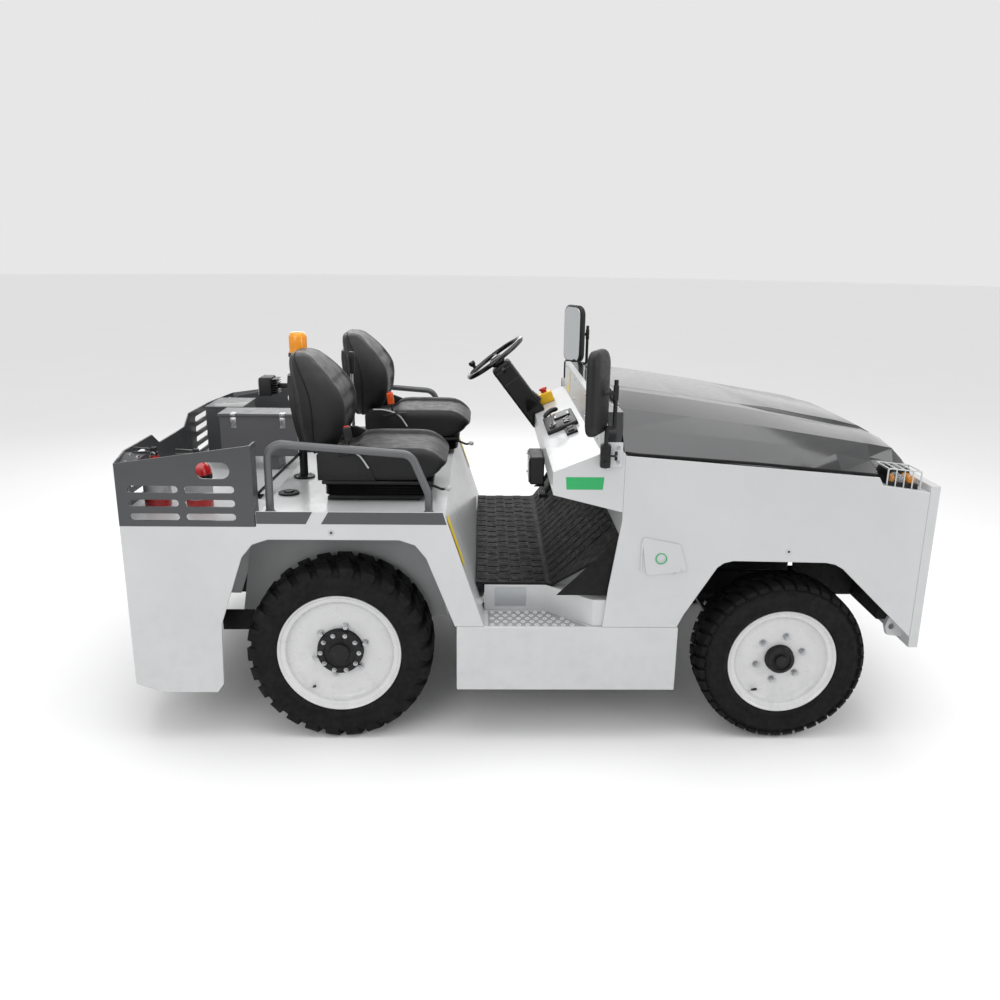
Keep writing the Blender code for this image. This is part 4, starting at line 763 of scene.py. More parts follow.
for sideName, sign in (("Left", 1), ("Right", -1)):
    sideFilm(f"bandRear{sideName}", [(-1.029, 0.998), (-0.828, 0.998), (-0.800, 1.0495), (-1.029, 1.0495)], bandEnamel, sign)
    sideFilm(f"bandFront{sideName}", [(-0.766, 0.998), (-0.252, 0.998), (-0.268, 1.0495), (-0.735, 1.0495)], bandEnamel, sign)
    sideFilm(f"sideLabel{sideName}", [(0.236, 1.152), (0.384, 1.152), (0.388, 1.204), (0.232, 1.204)], greenFilm, sign)
    for place, spot in (("Rear", (axleX["rear"] - 0.008, 0.961)), ("Front", (axleX["front"] - 0.032, 0.889))):
        ring = [(0.005, 0), (0.005, 0.0012), (0.0095, 0.0016), (0.012, 0.0012), (0.0125, 0)]
        made(f"plug{place}{sideName}", lambda work: addLathe(work, ring, placed((spot[0], sign * halfWidth, spot[1]), (0, sign, 0)), 24), greyPlastic)
    riser = [(-0.2505, 1.020), (-0.181, 0.812)]
    y0, y1 = sorted((sign * 0.885, sign * 0.835))
    y2 = sign * 0.868
    corners = [(riser[0][0], y0), (riser[0][0], y1)]

    def yellowStrip(work):
        rows = []
        for x, z, inner in ((-0.2505, 1.016, 0.812), (-0.1815, 0.812, 0.842)):
            rows.append([work.verts.new((x + out, sign * y, z)) for out in (0.0010, 0.0018) for y in (inner, 0.886)])
        for a, b in ((0, 1), (1, 3), (3, 2), (2, 0)):
            work.faces.new((rows[0][a], rows[0][b], rows[1][b], rows[1][a]))
        for row in rows:
            work.faces.new((row[0], row[1], row[3], row[2]))
    made(f"yellowStrip{sideName}", yellowStrip, yellowFilm)
    platePoints = [(-0.048, 0.566), (0.090, 0.566), (0.090, 0.655), (-0.048, 0.655)]
    skirt = abs(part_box("floor_pan")[0].y)
    sideFilm(f"dataPlate{sideName}", platePoints, greyFilm, sign, 0.0002, 0.0008, 0.7155)


# raised round holes in the step plates, in staggered rows
def stepHole(work):
    ring = [(0.0052, 0.0), (0.0052, 0.0022), (0.0072, 0.0034), (0.0098, 0.0028), (0.0112, 0.0)]
    addLathe(work, ring + [(0.0052, 0.0)], Matrix.Identity(4), 16)
    addLathe(work, [(0.0052, 0.0002), (0.0, 0.0002)], Matrix.Identity(4), 16)


for sideName, sign in (("Left", 1), ("Right", -1)):
    points = []
    for row in range(5):
        y = 0.745 + row * 0.033
        for i in range(13):
            x = -0.060 + i * 0.038 + (0.019 if row % 2 else 0)
            if x < 0.150 + (y - 0.717) * 1.05:
                points.append(((x, sign * y, sillZ), (0, 0, 1)))
    units(f"stepHoles{sideName}", points, stepHole, rimEnamel)

    def stepPlate(work):
        outline = [(-0.078, 0.731), (0.185, 0.731), (0.345, 0.888), (-0.078, 0.888)]
        addPrism(work, [(x, sign * y) for x, y in outline], sillZ + 0.0001, sillZ + 0.0009, "XY", 0.0003)
    made(f"stepPlate{sideName}", stepPlate, stepEnamel)


def addPlateStrip(work, sign):
    addBox(work, (-0.080, min(sign * 0.721, sign * 0.888), sillZ + 0.0002), (0.150, max(sign * 0.721, sign * 0.888), sillZ + 0.0016), 0.0006)


# bolts of the cage and its corner plates
cageBolts = []
for sign in (1, -1):
    for x, y in ((-1.605, 0.66), (-1.575, 0.80), (-1.560, 0.70)):
        cageBolts.append(((x, sign * y, 1.2271), (0, 0, 1)))
    for z in (1.005, 1.10, 1.20, 1.30):
        cageBolts.append(((cageHigh.x - 0.008, sign * (halfWidth - 0.045), z), (-1, 0, 0)))
    for x in (-1.50, -1.30, -1.12):
        cageBolts.append(((x, sign * (halfWidth - 0.020), cageLow.z), (0, 0, 1)))
heads("cageBolts", cageBolts, 0.0085, 0.007, zincSteel)
heads("stepBolts", [((x, sign * (halfWidth - 0.06), 0.2500), (0, 0, -1)) for sign in (1, -1) for x in (-0.1, 0.15, 0.4, 0.65)], 0.009, 0.007, zincSteel)


# hood seal along the tops of the side panels
def sealLine(sign):
    line = [Vector((0.478, sign * (halfWidth - 0.010), 1.300)), Vector((1.00, sign * (halfWidth - 0.010), 1.2635)), Vector((1.500, sign * (halfWidth - 0.010), 1.2190))]
    return line


for sideName, sign in (("Left", 1), ("Right", -1)):
    made(f"hoodSeal{sideName}", lambda work: addTube(work, sealLine(sign), 0.0065, 10), sealRubber)
made("noseSeal", lambda work: addTube(work, roundPath([(1.545, -0.725, 1.186), (1.712, -0.705, 1.160), (1.712, 0.705, 1.160), (1.545, 0.725, 1.186)], 0.03), 0.009, 10), sealRubber)

# charge flap marks: a plain round badge, two screws and the hinge barrel
flapLow, flapHigh, flapCentre = size("charge_flap")
flapY = flapLow.y
made("flapBadge", lambda work: addLathe(work, [(0, 0), (0, 0.0008), (0.0275, 0.0008), (0.0285, 0.0004), (0.0285, 0)], placed((0.640, flapY, 0.858), (0, -1, 0)), 48), greyPlastic, "charge_flap")
made("flapBadgeRing", lambda work: addLathe(work, [(0.0195, 0), (0.0195, 0.0014), (0.0245, 0.0014), (0.0245, 0)], placed((0.640, flapY, 0.858), (0, -1, 0)), 48, True), greenFilm, "charge_flap")
heads("flapScrews", [((0.728, flapY, 0.806), (0, -1, 0)), ((0.700, flapY, 0.794), (0, -1, 0))], 0.004, 0.0015, greyPlastic, "charge_flap", 12, 1.2)
made("flapHinge", lambda work: addTube(work, [Vector((0.5585, flapY + 0.004, 0.800)), Vector((0.5585, flapY + 0.004, 0.930))], 0.0045, 12), whiteEnamel, "charge_flap")
print("body details made")


# ---- rails, beacon, pole and work lamp ----

for sideName, sign in (("left", 1), ("right", -1)):
    low, high, centre = size(f"{sideName}_handrail")
    foot = low.z
    points = [(low.x + 0.0165, centre.y, foot), (low.x + 0.0185, centre.y, high.z - 0.0165), (-0.3987, centre.y, 1.2773), (high.x - 0.0165, centre.y, 1.11), (high.x - 0.0165, centre.y, foot)]

    def railTube(work):
        addTube(work, roundPath(points, 0.06, 10), 0.0165, 20)
        for x in (points[0][0], points[-1][0]):
            addLathe(work, [(0.0166, 0.0), (0.0245, 0.0), (0.021, 0.004), (0.0175, 0.009)], placed((x, centre.y, foot)), 24)
    made(f"{sideName}Handrail", railTube, greyEnamel, "chassis", "grey_paint", [f"{sideName}_handrail"], 40)

beaconLow, beaconHigh, beaconCentre = size("beacon")


def beaconDome(work):
    base = beaconLow.z + 0.022
    top = beaconHigh.z
    addLathe(work, [(0.0425, base), (0.0425, base + 0.010), (0.0395, base + 0.012), (0.0385, top - 0.022), (0.036, top - 0.010), (0.028, top - 0.003), (0, top)],
             Matrix.Translation((beaconCentre.x, beaconCentre.y, 0)), 48)
    for i in range(24):
        t = 2 * math.pi * i / 24
        spot = Vector((beaconCentre.x + 0.0392 * math.cos(t), beaconCentre.y + 0.0392 * math.sin(t), base + 0.044))
        addBlock(work, (0.0022, 0.0035, 0.060), Matrix.Translation(spot) @ Matrix.Rotation(t, 4, "Z"), 0.0008, 1)


made("beaconDome", beaconDome, amberLens, "chassis", "amber_plastic", ["beacon"], 40)
made("beaconBase", lambda work: addLathe(work, [(0.0, beaconLow.z), (0.040, beaconLow.z), (0.046, beaconLow.z + 0.004), (0.046, beaconLow.z + 0.016), (0.0435, beaconLow.z + 0.022), (0, beaconLow.z + 0.022)],
                                         Matrix.Translation((beaconCentre.x, beaconCentre.y, 0)), 48), blackPlastic)
poleX, poleY = beaconCentre.x, beaconCentre.y
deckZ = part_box("beacon_pole")[0].z
flangeZ = 1.0303
heads("poleBolts", [((poleX + 0.036 * math.cos(t), poleY + 0.036 * math.sin(t), flangeZ + 0.008), (0, 0, 1)) for t in (0.8, 2.4, 3.9, 5.5)], 0.006, 0.006, zincSteel)
made("deckFlange", lambda work: addLathe(work, [(0, 1.0302), (0.046, 1.0302), (0.046, 1.038), (0.042, 1.040), (0.024, 1.040), (0.022, 1.046), (0, 1.046)], Matrix.Translation((poleX - 0.012, poleY - 0.30, 0)), 40), blackPlastic)

lightLow, lightHigh, lightCentre = size("work_light")


def workLamp(work):
    x = lightLow.x
    addBlock(work, (0.058, 0.108, 0.084), Matrix.Translation((x + 0.031, lightCentre.y, lightCentre.z)), 0.006)
    for i in range(7):
        addBlock(work, (0.030, 0.092, 0.003), Matrix.Translation((x + 0.070, lightCentre.y, lightCentre.z - 0.033 + i * 0.011)), 0.001, 1)
    addBlock(work, (0.060, 0.004, 0.022), Matrix.Translation((x + 0.068, lightCentre.y, lightCentre.z)), 0.001, 1)
    addBlock(work, (lightHigh.x - x - 0.085, 0.012, 0.022), Matrix.Translation(((lightHigh.x + x + 0.085) / 2, lightCentre.y, lightCentre.z)), 0.002)


made("workLamp", workLamp, blackCoat, "chassis", "black_paint", ["work_light"], 35)
made("workLampGlass", lambda work: addBlock(work, (0.004, 0.094, 0.070), Matrix.Translation((lightLow.x + 0.0015, lightCentre.y, lightCentre.z)), 0.0015), clearLens)
print("rails and pole made")


# ---- load space ----

def extinguisher(name, node, collarTurn):
    low, high, centre = size(node)
    r = 0.057
    x, y = (high.x - 0.058 if node.endswith("b") else high.x - 0.058), centre.y
    x = low.x + 0.095
    bottle = [(0, low.z), (r - 0.012, low.z), (r - 0.002, low.z + 0.006), (r, low.z + 0.014), (r, low.z + 0.172), (r - 0.004, low.z + 0.188), (r - 0.016, low.z + 0.204),
              (0.024, low.z + 0.216), (0.018, low.z + 0.222), (0.018, low.z + 0.232), (0, low.z + 0.232)]
    made(name, lambda work: addLathe(work, bottle, Matrix.Translation((x, y, 0)), 48), redEnamel, "chassis", "red_paint", [node], 35)

    def valve(work):
        addLathe(work, [(0, low.z + 0.228), (0.016, low.z + 0.228), (0.016, low.z + 0.246), (0.011, low.z + 0.250), (0, low.z + 0.250)], Matrix.Translation((x, y, 0)), 20)
        for lift, tip in ((0.246, -0.090), (0.262, -0.085)):
            addBlock(work, (0.098, 0.016, 0.0045), Matrix.Translation((x + tip / 2 + 0.004, y, low.z + lift)) @ Matrix.Rotation(math.radians(4 if lift > 0.25 else -3), 4, "Y"), 0.0015)
        addBlock(work, (0.024, 0.020, 0.024), Matrix.Translation((x, y, low.z + 0.256)), 0.003)
    made(name + "Valve", valve, blackPlastic)
    label = [(r + 0.0004, low.z + 0.055), (r + 0.0009, low.z + 0.055), (r + 0.0009, low.z + 0.125), (r + 0.0004, low.z + 0.125)]
    made(name + "Label", lambda work: addLathe(work, label, Matrix.Translation((x, y, 0)), 48, True), greyPlastic)
    gauge = [(0, 0), (0.011, 0), (0.011, 0.008), (0.009, 0.010), (0, 0.010)]
    made(name + "Gauge", lambda work: addLathe(work, gauge, placed((x, y - 0.010, low.z + 0.240), (0, -1, 0)), 20), zincSteel)
    made(name + "Clamp", lambda work: addLathe(work, [(r + 0.0005, low.z + 0.140), (r + 0.0030, low.z + 0.140), (r + 0.0030, low.z + 0.160), (r + 0.0005, low.z + 0.160)], Matrix.Translation((x, y, 0)), 48, True), blackPlastic)


extinguisher("extinguisherFront", "fire_extinguisher_a", 0)
extinguisher("extinguisherRear", "fire_extinguisher_b", 0)

boxLow, boxHigh, boxCentre = size("toolbox")
lidLow, lidHigh, lidCentre = size("toolbox_lid")
for i, x in enumerate((boxLow.x + 0.07, boxHigh.x - 0.07)):
    def strap(work):
        addBox(work, (x - 0.014, lidLow.y - 0.0022, lidLow.z + 0.001), (x + 0.014, lidLow.y - 0.0002, lidHigh.z - 0.001), 0.0006)
        addBox(work, (x - 0.014, lidLow.y - 0.0022, lidHigh.z + 0.0002), (x + 0.014, lidLow.y + 0.045, lidHigh.z + 0.0022), 0.0008)
    made(f"lidStrap{i}", strap, zincSteel, "toolbox_lid")
    made(f"boxStrap{i}", lambda work: addBox(work, (x - 0.014, boxLow.y - 0.0026, lidLow.z - 0.060), (x + 0.014, boxLow.y - 0.0004, lidLow.z - 0.006), 0.0006), zincSteel)
    heads(f"strapRivets{i}", [((x, boxLow.y - 0.0026, lidLow.z - 0.022), (0, -1, 0)), ((x, boxLow.y - 0.0026, lidLow.z - 0.046), (0, -1, 0))], 0.0035, 0.0016, zincSteel, "chassis", 12, 1.2)
made("boxLatch", lambda work: (addBox(work, (boxCentre.x - 0.018, boxHigh.y + 0.0004, lidLow.z - 0.050), (boxCentre.x + 0.018, boxHigh.y + 0.006, lidLow.z - 0.008), 0.0015),
                               addBox(work, (boxCentre.x - 0.010, boxHigh.y + 0.005, lidLow.z - 0.040), (boxCentre.x + 0.010, boxHigh.y + 0.0095, lidLow.z - 0.016), 0.0015)), zincSteel)
lockLow, lockHigh, lockCentre = size("rear_locker")
made("lockerTop", lambda work: addBox(work, (lockLow.x - 0.004, lockLow.y - 0.004, lockHigh.z + 0.0003), (lockHigh.x + 0.004, lockHigh.y + 0.004, lockHigh.z + 0.007), 0.002), boxEnamel)
made("towPinLoop", lambda work: addTube(work, smoothPath([(-1.7303 + 0.030 * math.cos(t), 0.0, 0.556 + 0.026 * math.sin(t)) for t in (2 * math.pi * i / 12 - 1.2 for i in range(12))], 3), 0.004, 10), zincSteel, "tow_pin")
print("load space made")


# inner panels of the rear wheel arches, in white enamel darkened as painted shade, with a slotted hole (a black disc
# inside a rubber edge, the disc painted shade) and a rubber flap at the rear
for sideName, sign in (("Left", 1), ("Right", -1)):
    low, high, centre = size(f"rear_{sideName.lower()}_tyre")
    inner = min(abs(low.y), abs(high.y)) - 0.030

    def archLiner(work):
        outline = [(centre.x - 0.470, 0.470), (centre.x + 0.455, 0.470), (centre.x + 0.400, 0.800), (centre.x + 0.330, 0.926), (centre.x - 0.330, 0.926), (centre.x - 0.420, 0.800)]
        addPrism(work, outline, min(sign * inner, sign * (inner - 0.003)), max(sign * inner, sign * (inner - 0.003)), "XZ", 0.0005)
    made(f"archLiner{sideName}", archLiner, shadowEnamel)

    # a raised black rubber edge round the slot; its centre is closed by a black disc, painted shade standing for the
    # dark inside of the hole
    def linerHoleShadeDisc(work):
        place = placed((centre.x + 0.322, sign * (inner + 0.0004), 0.845), (0, sign, 0)) @ Matrix.Diagonal((0.6, 1.0, 1.0, 1.0))
        addLathe(work, [(0, 0), (0.034, 0), (0.036, 0.001), (0.036, 0.003), (0.033, 0.0035), (0.032, 0.001), (0, 0.001)], place, 32)
    made(f"linerHole{sideName}", linerHoleShadeDisc, sealRubber)
    flapY = sorted((sign * 0.700, sign * 0.706))
    made(f"rearMudFlap{sideName}", lambda work: addBox(work, (-1.255, flapY[0], 0.443), (-1.110, flapY[1], 0.539), 0.002), sealRubber)


# ---- seats ----

seatShape = {
    # height over the foot, front and rear from the seat's front line, half width, half width of the seated middle
    "back": [(0.000, -0.492, -0.580, 0.150), (0.012, -0.470, -0.600, 0.178), (0.050, -0.447, -0.618, 0.204), (0.100, -0.430, -0.629, 0.222),
             (0.150, -0.420, -0.636, 0.234), (0.210, -0.418, -0.642, 0.238), (0.265, -0.431, -0.648, 0.233), (0.315, -0.460, -0.655, 0.220),
             (0.355, -0.492, -0.661, 0.199), (0.390, -0.527, -0.664, 0.172), (0.414, -0.556, -0.660, 0.140), (0.427, -0.585, -0.646, 0.095)],
    "channels": (0.075, 0.150, 0.225, 0.300),
    "set": 0.014, "wing": 0.66, "wingRise": 0.026, "groove": 0.0055,
}


def interpolated(rows, count):
    # a smooth line through rows of numbers, sampled evenly by index
    line = []
    for i in range(count):
        t = i / (count - 1) * (len(rows) - 1)
        k = min(int(t), len(rows) - 2)
        f = t - k
        a, b, c, d = (rows[max(0, min(len(rows) - 1, k + j))] for j in (-1, 0, 1, 2))
        line.append([0.5 * (2 * q + (r - p) * f + (2 * p - 5 * q + 4 * r - s) * f * f + (3 * q - p - 3 * r + s) * f ** 3)
                     for p, q, r, s in zip(a, b, c, d)])
    return line


def addLoft(work, loops):
    rings = [[work.verts.new(point) for point in loop] for loop in loops]
    count = len(rings[0])
    for low, high in zip(rings, rings[1:]):
        for k in range(count):
            work.faces.new((low[k], low[(k + 1) % count], high[(k + 1) % count], high[k]))
    for ring, centre in ((rings[0], loops[0]), (rings[-1], loops[-1])):
        middle = work.verts.new(sum((Vector(p) for p in centre), Vector()) / count)
        for k in range(count):
            work.faces.new((ring[k], ring[(k + 1) % count], middle))


def bell(value, centre, width):
    return math.exp(-((value - centre) / width) ** 2)


def power(value, exponent):
    return math.copysign(abs(value) ** exponent, value)


def makeSeat(sideName, sign):
    node = f"{sideName}_seat"
    backLow, backHigh, backCentre = size(node + "_back")
    low, high, centre = size(node + "_cushion")
    front = high.x
    y0 = centre.y
    foot = backLow.z

    def back(work):
        loops = []
        for rise, xFront, xRear, half in interpolated(seatShape["back"], 60):
            loop = []
            for k in range(88):
                a = 2 * math.pi * k / 88
                s = power(math.cos(a), 0.62)
                depth = power(math.sin(a), 0.72)
                x = (xFront + xRear) / 2 + (xFront - xRear) / 2 * depth
                y = half * s
                if depth > 0:
                    wing = bell(abs(s), 0.80, 0.17) * seatShape["wingRise"] * min(1, rise / 0.10) * max(0.0, 1 - max(0, rise - 0.24) / 0.16)
                    seam = bell(abs(s), seatShape["wing"], 0.030) * seatShape["groove"] * (1 if 0.03 < rise < 0.37 else 0)
                    inner = 1 / (1 + math.exp((abs(s) - seatShape["wing"]) * 40))
                    channel = sum(bell(rise - 0.014 * (1 - s * s), at, 0.0045) for at in seatShape["channels"]) * seatShape["groove"] * inner
                    pillow = 0.007 * inner * abs(math.sin(math.pi * rise / 0.075)) if rise < 0.31 else 0.006 * inner
                    x += depth * (wing - 0.014 * inner - seam - channel + pillow)
                else:
                    x += 0.012 * bell(s, 0, 0.35) * -depth * bell(rise, 0.2, 0.12)
                    x += 0.004 * bell(abs(s), 0.86, 0.03)
                loop.append((front + x - seatShape["set"], y0 + y, foot + 0.0004 + rise))
            loops.append(loop)
        addLoft(work, loops)
    backPiece = made(f"{sideName}SeatBack", back, seatVinyl, "chassis", "vinyl", [node + "_back"], 60, 0, 1)

    # the seam piping round the back, where front cover and rear shell meet
    rows = interpolated(seatShape["back"], 40)[2:-1]
    piping = []
    for rise, xFront, xRear, half in rows:
        piping.append(Vector((front + (xFront + xRear) / 2 - 0.034, y0 - half * 0.998, foot + rise)))
    for rise, xFront, xRear, half in reversed(rows):
        piping.append(Vector((front + (xFront + xRear) / 2 - 0.034, y0 + half * 0.998, foot + rise)))
    made(f"{sideName}SeatPiping", lambda work: addTube(work, piping, 0.0030, 8), sealRubber)

    bottom, top = low.z, high.z
    length = high.x - low.x
    halfSeat = (high.y - low.y) / 2

    def cushion(work):
        loops = []
        stations = 64
        for i in range(stations):
            s = -1 + 2 * i / (stations - 1)
            edge = max(0.0, 1 - abs(s) ** 7) ** 0.45
            y = y0 + halfSeat * (abs(s) ** 0.92 * (1 if s > 0 else -1)) * 0.999
            loop = []
            count = 80
            for k in range(count):
                t = k / count
                a = 2 * math.pi * t
                cx = power(math.cos(a), 0.42)
                cz = power(math.sin(a), 0.55)
                fx = 0.5 + 0.5 * cx * (0.55 + 0.45 * edge)
                x = low.x + length * fx
                nose = max(0.0, (fx - 0.80) / 0.20)
                rear = max(0.0, (0.30 - fx) / 0.30)
                roof = top - 0.012 - 0.050 * nose ** 2 - (0.036 if rear > 0 else 0) * min(1, rear * 3.5)
                floor = bottom + 0.055 * nose ** 2
                inner = 1 / (1 + math.exp((abs(s) - 0.66) * 45))
                wing = 0.014 * bell(abs(s), 0.84, 0.14)
                dish = 0.006 * inner
                seam = 0.0055 * bell(abs(s), 0.665, 0.022)
                cross = sum(bell(fx - 0.02 * s * s, at, 0.010) for at in (0.42, 0.62, 0.82)) * 0.0048 * inner
                if cz > 0:
                    z = (roof + floor) / 2 + (roof - floor) / 2 * cz * (0.62 + 0.38 * edge) + (wing * (1 - rear) - dish - seam - cross) * cz
                    z = min(z, top)
                else:
                    z = (roof + floor) / 2 + (roof - floor) / 2 * cz * (0.80 + 0.20 * edge)
                waist = 0.006 * bell(z, bottom + 0.052, 0.010)
                loop.append((x - waist * cx, y, z))
            loops.append(loop)
        addLoft(work, loops)
    cushionPiece = made(f"{sideName}SeatCushion", cushion, seatVinyl, "chassis", "vinyl", [node + "_cushion"], 60, 0, 1)

    def shields(work):
        for side in (1, -1):
            y = y0 + side * (halfSeat - 0.016)
            outline = [(front - 0.548, bottom + 0.004), (front - 0.300, bottom + 0.004), (front - 0.318, bottom + 0.058), (front - 0.372, top - 0.022), (front - 0.440, top + 0.004), (front - 0.520, top + 0.006), (front - 0.550, top - 0.030)]
            addPrism(work, outline, min(y, y + side * 0.021), max(y, y + side * 0.021), "XZ", 0.008)

    made(f"{sideName}HipShields", shields, blackPlastic)

    def hipTrim(work):
        side = -1
        y = y0 + side * (halfSeat + 0.0055)
        line = [Vector((front - 0.505, y, top + 0.004)), Vector((front - 0.440, y, top + 0.001)), Vector((front - 0.372, y, top - 0.026)), Vector((front - 0.330, y, bottom + 0.062))]
        addTube(work, smoothPath(line, 6), 0.006, 10, 0.6)

    made(f"{sideName}HipTrim", hipTrim, greyPlastic)

    def rearShell(work):
        loops = []
        for rise, xRear, half in ((0.004, -0.606, 0.150), (0.03, -0.632, 0.165), (0.12, -0.655, 0.172), (0.22, -0.671, 0.172), (0.30, -0.679, 0.160), (0.335, -0.680, 0.140)):
            loops.append([(front + xRear + dx, y0 + half * s, foot + rise) for dx, s in ((0.03, -1.0), (0.004, -0.97), (-0.002, -0.7), (-0.003, 0.0), (-0.002, 0.7), (0.004, 0.97), (0.03, 1.0))])
        addLoft(work, loops)

    made(f"{sideName}RearShell", rearShell, blackPlastic)
    baseLow, baseHigh, baseCentre = size(node + "_base")

    def bellows(work):
        x0, x1 = baseLow.x + 0.012, baseHigh.x - 0.012
        half = halfSeat - 0.022
        loops = []
        folds = 5
        rows = [(baseLow.z + 0.024 + (baseHigh.z - 0.014 - baseLow.z - 0.024) * i / (folds * 4), 0.5 - 0.5 * math.cos(2 * math.pi * i / 4)) for i in range(folds * 4 + 1)]
        for z, out in rows:
            reach = 0.009 * out - 0.006
            loop = []
            for k in range(64):
                a = 2 * math.pi * k / 64
                loop.append(((x0 + x1) / 2 + ((x1 - x0) / 2 + reach) * power(math.cos(a), 0.22), y0 + (half + reach) * power(math.sin(a), 0.22), z))
            loops.append(loop)
        addLoft(work, loops)
    made(f"{sideName}SeatBellows", bellows, sealRubber, "chassis", None, (), 50)

    def pans(work):
        addBox(work, (baseLow.x + 0.004, y0 - halfSeat + 0.014, baseHigh.z - 0.016), (baseHigh.x, y0 + halfSeat - 0.014, baseHigh.z - 0.0005), 0.004)
        for side in (1, -1):
            addBox(work, (baseLow.x + 0.02, y0 + side * 0.17 - 0.018, baseLow.z), (baseHigh.x - 0.055, y0 + side * 0.17 + 0.018, baseLow.z + 0.014), 0.002)
        addBox(work, (baseLow.x + 0.03, y0 - halfSeat + 0.03, baseLow.z + 0.012), (baseHigh.x - 0.05, y0 + halfSeat - 0.03, baseLow.z + 0.026), 0.003)
    made(f"{sideName}SeatPan", pans, blackCoat, "chassis", "black_plastic", [node + "_base"])
    heads(f"{sideName}RailBolts", [((baseLow.x + 0.035, y0 + side * 0.17, baseLow.z + 0.014), (0, 0, 1)) for side in (1, -1)], 0.008, 0.007, zincSteel)

    # weight knob, two levers, belt stalk with its buckle, and the belt's reel
    tip = Vector((baseHigh.x - 0.004, y0 - halfSeat + 0.060, baseHigh.z - 0.030))
    made(f"{sideName}SlideLever", lambda work: addTube(work, smoothPath([tip + Vector((-0.06, 0, 0.004)), tip, tip + Vector((0.040, -0.012, -0.012)), tip + Vector((0.062, -0.030, -0.004))], 5), 0.0055, 10), blackCoat)
    made(f"{sideName}LeverKnob", lambda work: addLathe(work, [(0, -0.012), (0.008, -0.010), (0.012, 0.0), (0.011, 0.010), (0.006, 0.016), (0, 0.017)], placed(tip + Vector((0.066, -0.034, -0.003)), (0.7, -0.7, 0.1)), 24), greyPlastic)
    hip = Vector((front - 0.452, y0 - halfSeat - 0.004, top - 0.030))
    made(f"{sideName}ReclineLever", lambda work: addTube(work, smoothPath([hip, hip + Vector((0.055, -0.006, 0.014)), hip + Vector((0.115, -0.006, 0.018))], 6), lambda t: 0.010 - 0.003 * t, 12, 0.6), blackPlastic)
    stalk = Vector((front - 0.405, y0 - halfSeat + 0.012, top - 0.020))
    made(f"{sideName}BuckleStalk", lambda work: addTube(work, smoothPath([stalk + Vector((0, 0.004, -0.045)), stalk, stalk + Vector((-0.008, -0.008, 0.060))], 5), 0.010, 10, 0.5), blackPlastic)
    lean = Matrix.Translation(stalk + Vector((-0.010, -0.010, 0.082))) @ Matrix.Rotation(math.radians(-8), 4, "Y")
    made(f"{sideName}Buckle", lambda work: addBlock(work, (0.034, 0.024, 0.062), lean, 0.006, 3), orangePlastic if sign > 0 else blackPlastic)
    made(f"{sideName}BuckleButton", lambda work: addBlock(work, (0.022, 0.014, 0.008), lean @ Matrix.Translation((0, 0, 0.0315)), 0.002), redPlastic)
    made(f"{sideName}BeltReel", lambda work: addBlock(work, (0.060, 0.036, 0.070), Matrix.Translation((front - 0.50, y0 + halfSeat + 0.006, top - 0.055)), 0.010, 3), blackPlastic)


for sideName, sign in (("passenger", -1), ("driver", 1)):
    makeSeat(sideName, sign)

leverLow, leverHigh, leverCentre = size("hand_lever")


def handLever(work):
    x, y = leverCentre.x, leverCentre.y
    addTube(work, [Vector((x, y, leverLow.z + 0.05)), Vector((x, y, leverHigh.z - 0.105))], 0.0075, 16)


made("leverRod", handLever, zincSteel, "chassis", "black_paint", ["hand_lever"])
made("leverGrip", lambda work: addLathe(work, [(0, 0), (0.0125, 0.0), (0.014, 0.010), (0.0150, 0.040), (0.0185, 0.075), (0.0185, 0.095), (0.013, 0.106), (0, 0.1095)], Matrix.Translation((leverCentre.x, leverCentre.y, leverHigh.z - 0.110)), 28), blackPlastic)
bootRows = [(0.046, 0.0), (0.046, 0.010), (0.036, 0.014), (0.040, 0.022), (0.030, 0.028), (0.034, 0.036), (0.024, 0.042), (0.027, 0.050), (0.017, 0.056), (0.019, 0.064), (0.009, 0.072), (0.0078, 0.080)]
made("leverBoot", lambda work: addLathe(work, [(0, 0)] + bootRows + [(0, 0.080)], Matrix.Translation((leverCentre.x, leverCentre.y, leverLow.z)), 36), sealRubber)
print("seats made")


# ---- steering, dash and controls ----

joints = {joint["name"]: joint for joint in frame["joints"]}
turnJoint = joints["steering_wheel_turn"]
hubPlace = Vector(turnJoint["pos_m"])
steerAxis = Vector(turnJoint["axis"]).normalized()
wheelLow, wheelHigh, wheelCentre = size("steering_wheel")
wheelPlace = Matrix.Translation(hubPlace) @ turnTo(steerAxis)
gripR, rimR = 0.0135, 0.1715


def steeringRim(work):
    ring = [(rimR + gripR * math.cos(t), gripR * math.sin(t)) for t in (2 * math.pi * i / 16 for i in range(16))]
    addLathe(work, ring, wheelPlace, 96, True)


made("steeringRim", steeringRim, glossPlastic, "steering_wheel", "black_plastic", ["steering_wheel"])


def steeringSpokes(work):
    for angle in (90, 210, 330):
        t = math.radians(angle)
        line = [wheelPlace @ Vector((r * math.cos(t), r * math.sin(t), z)) for r, z in ((0.030, -0.020), (0.060, -0.016), (0.110, -0.008), (rimR, 0.0))]
        addTube(work, smoothPath(line, 5), lambda s: 0.0145 - 0.004 * math.sin(math.pi * s), 14, 0.45)
    addLathe(work, [(0, -0.043), (0.030, -0.043), (0.041, -0.034), (0.043, -0.018), (0.040, -0.008), (0.034, 0.000), (0.026, 0.003), (0, 0.004)], wheelPlace, 48)


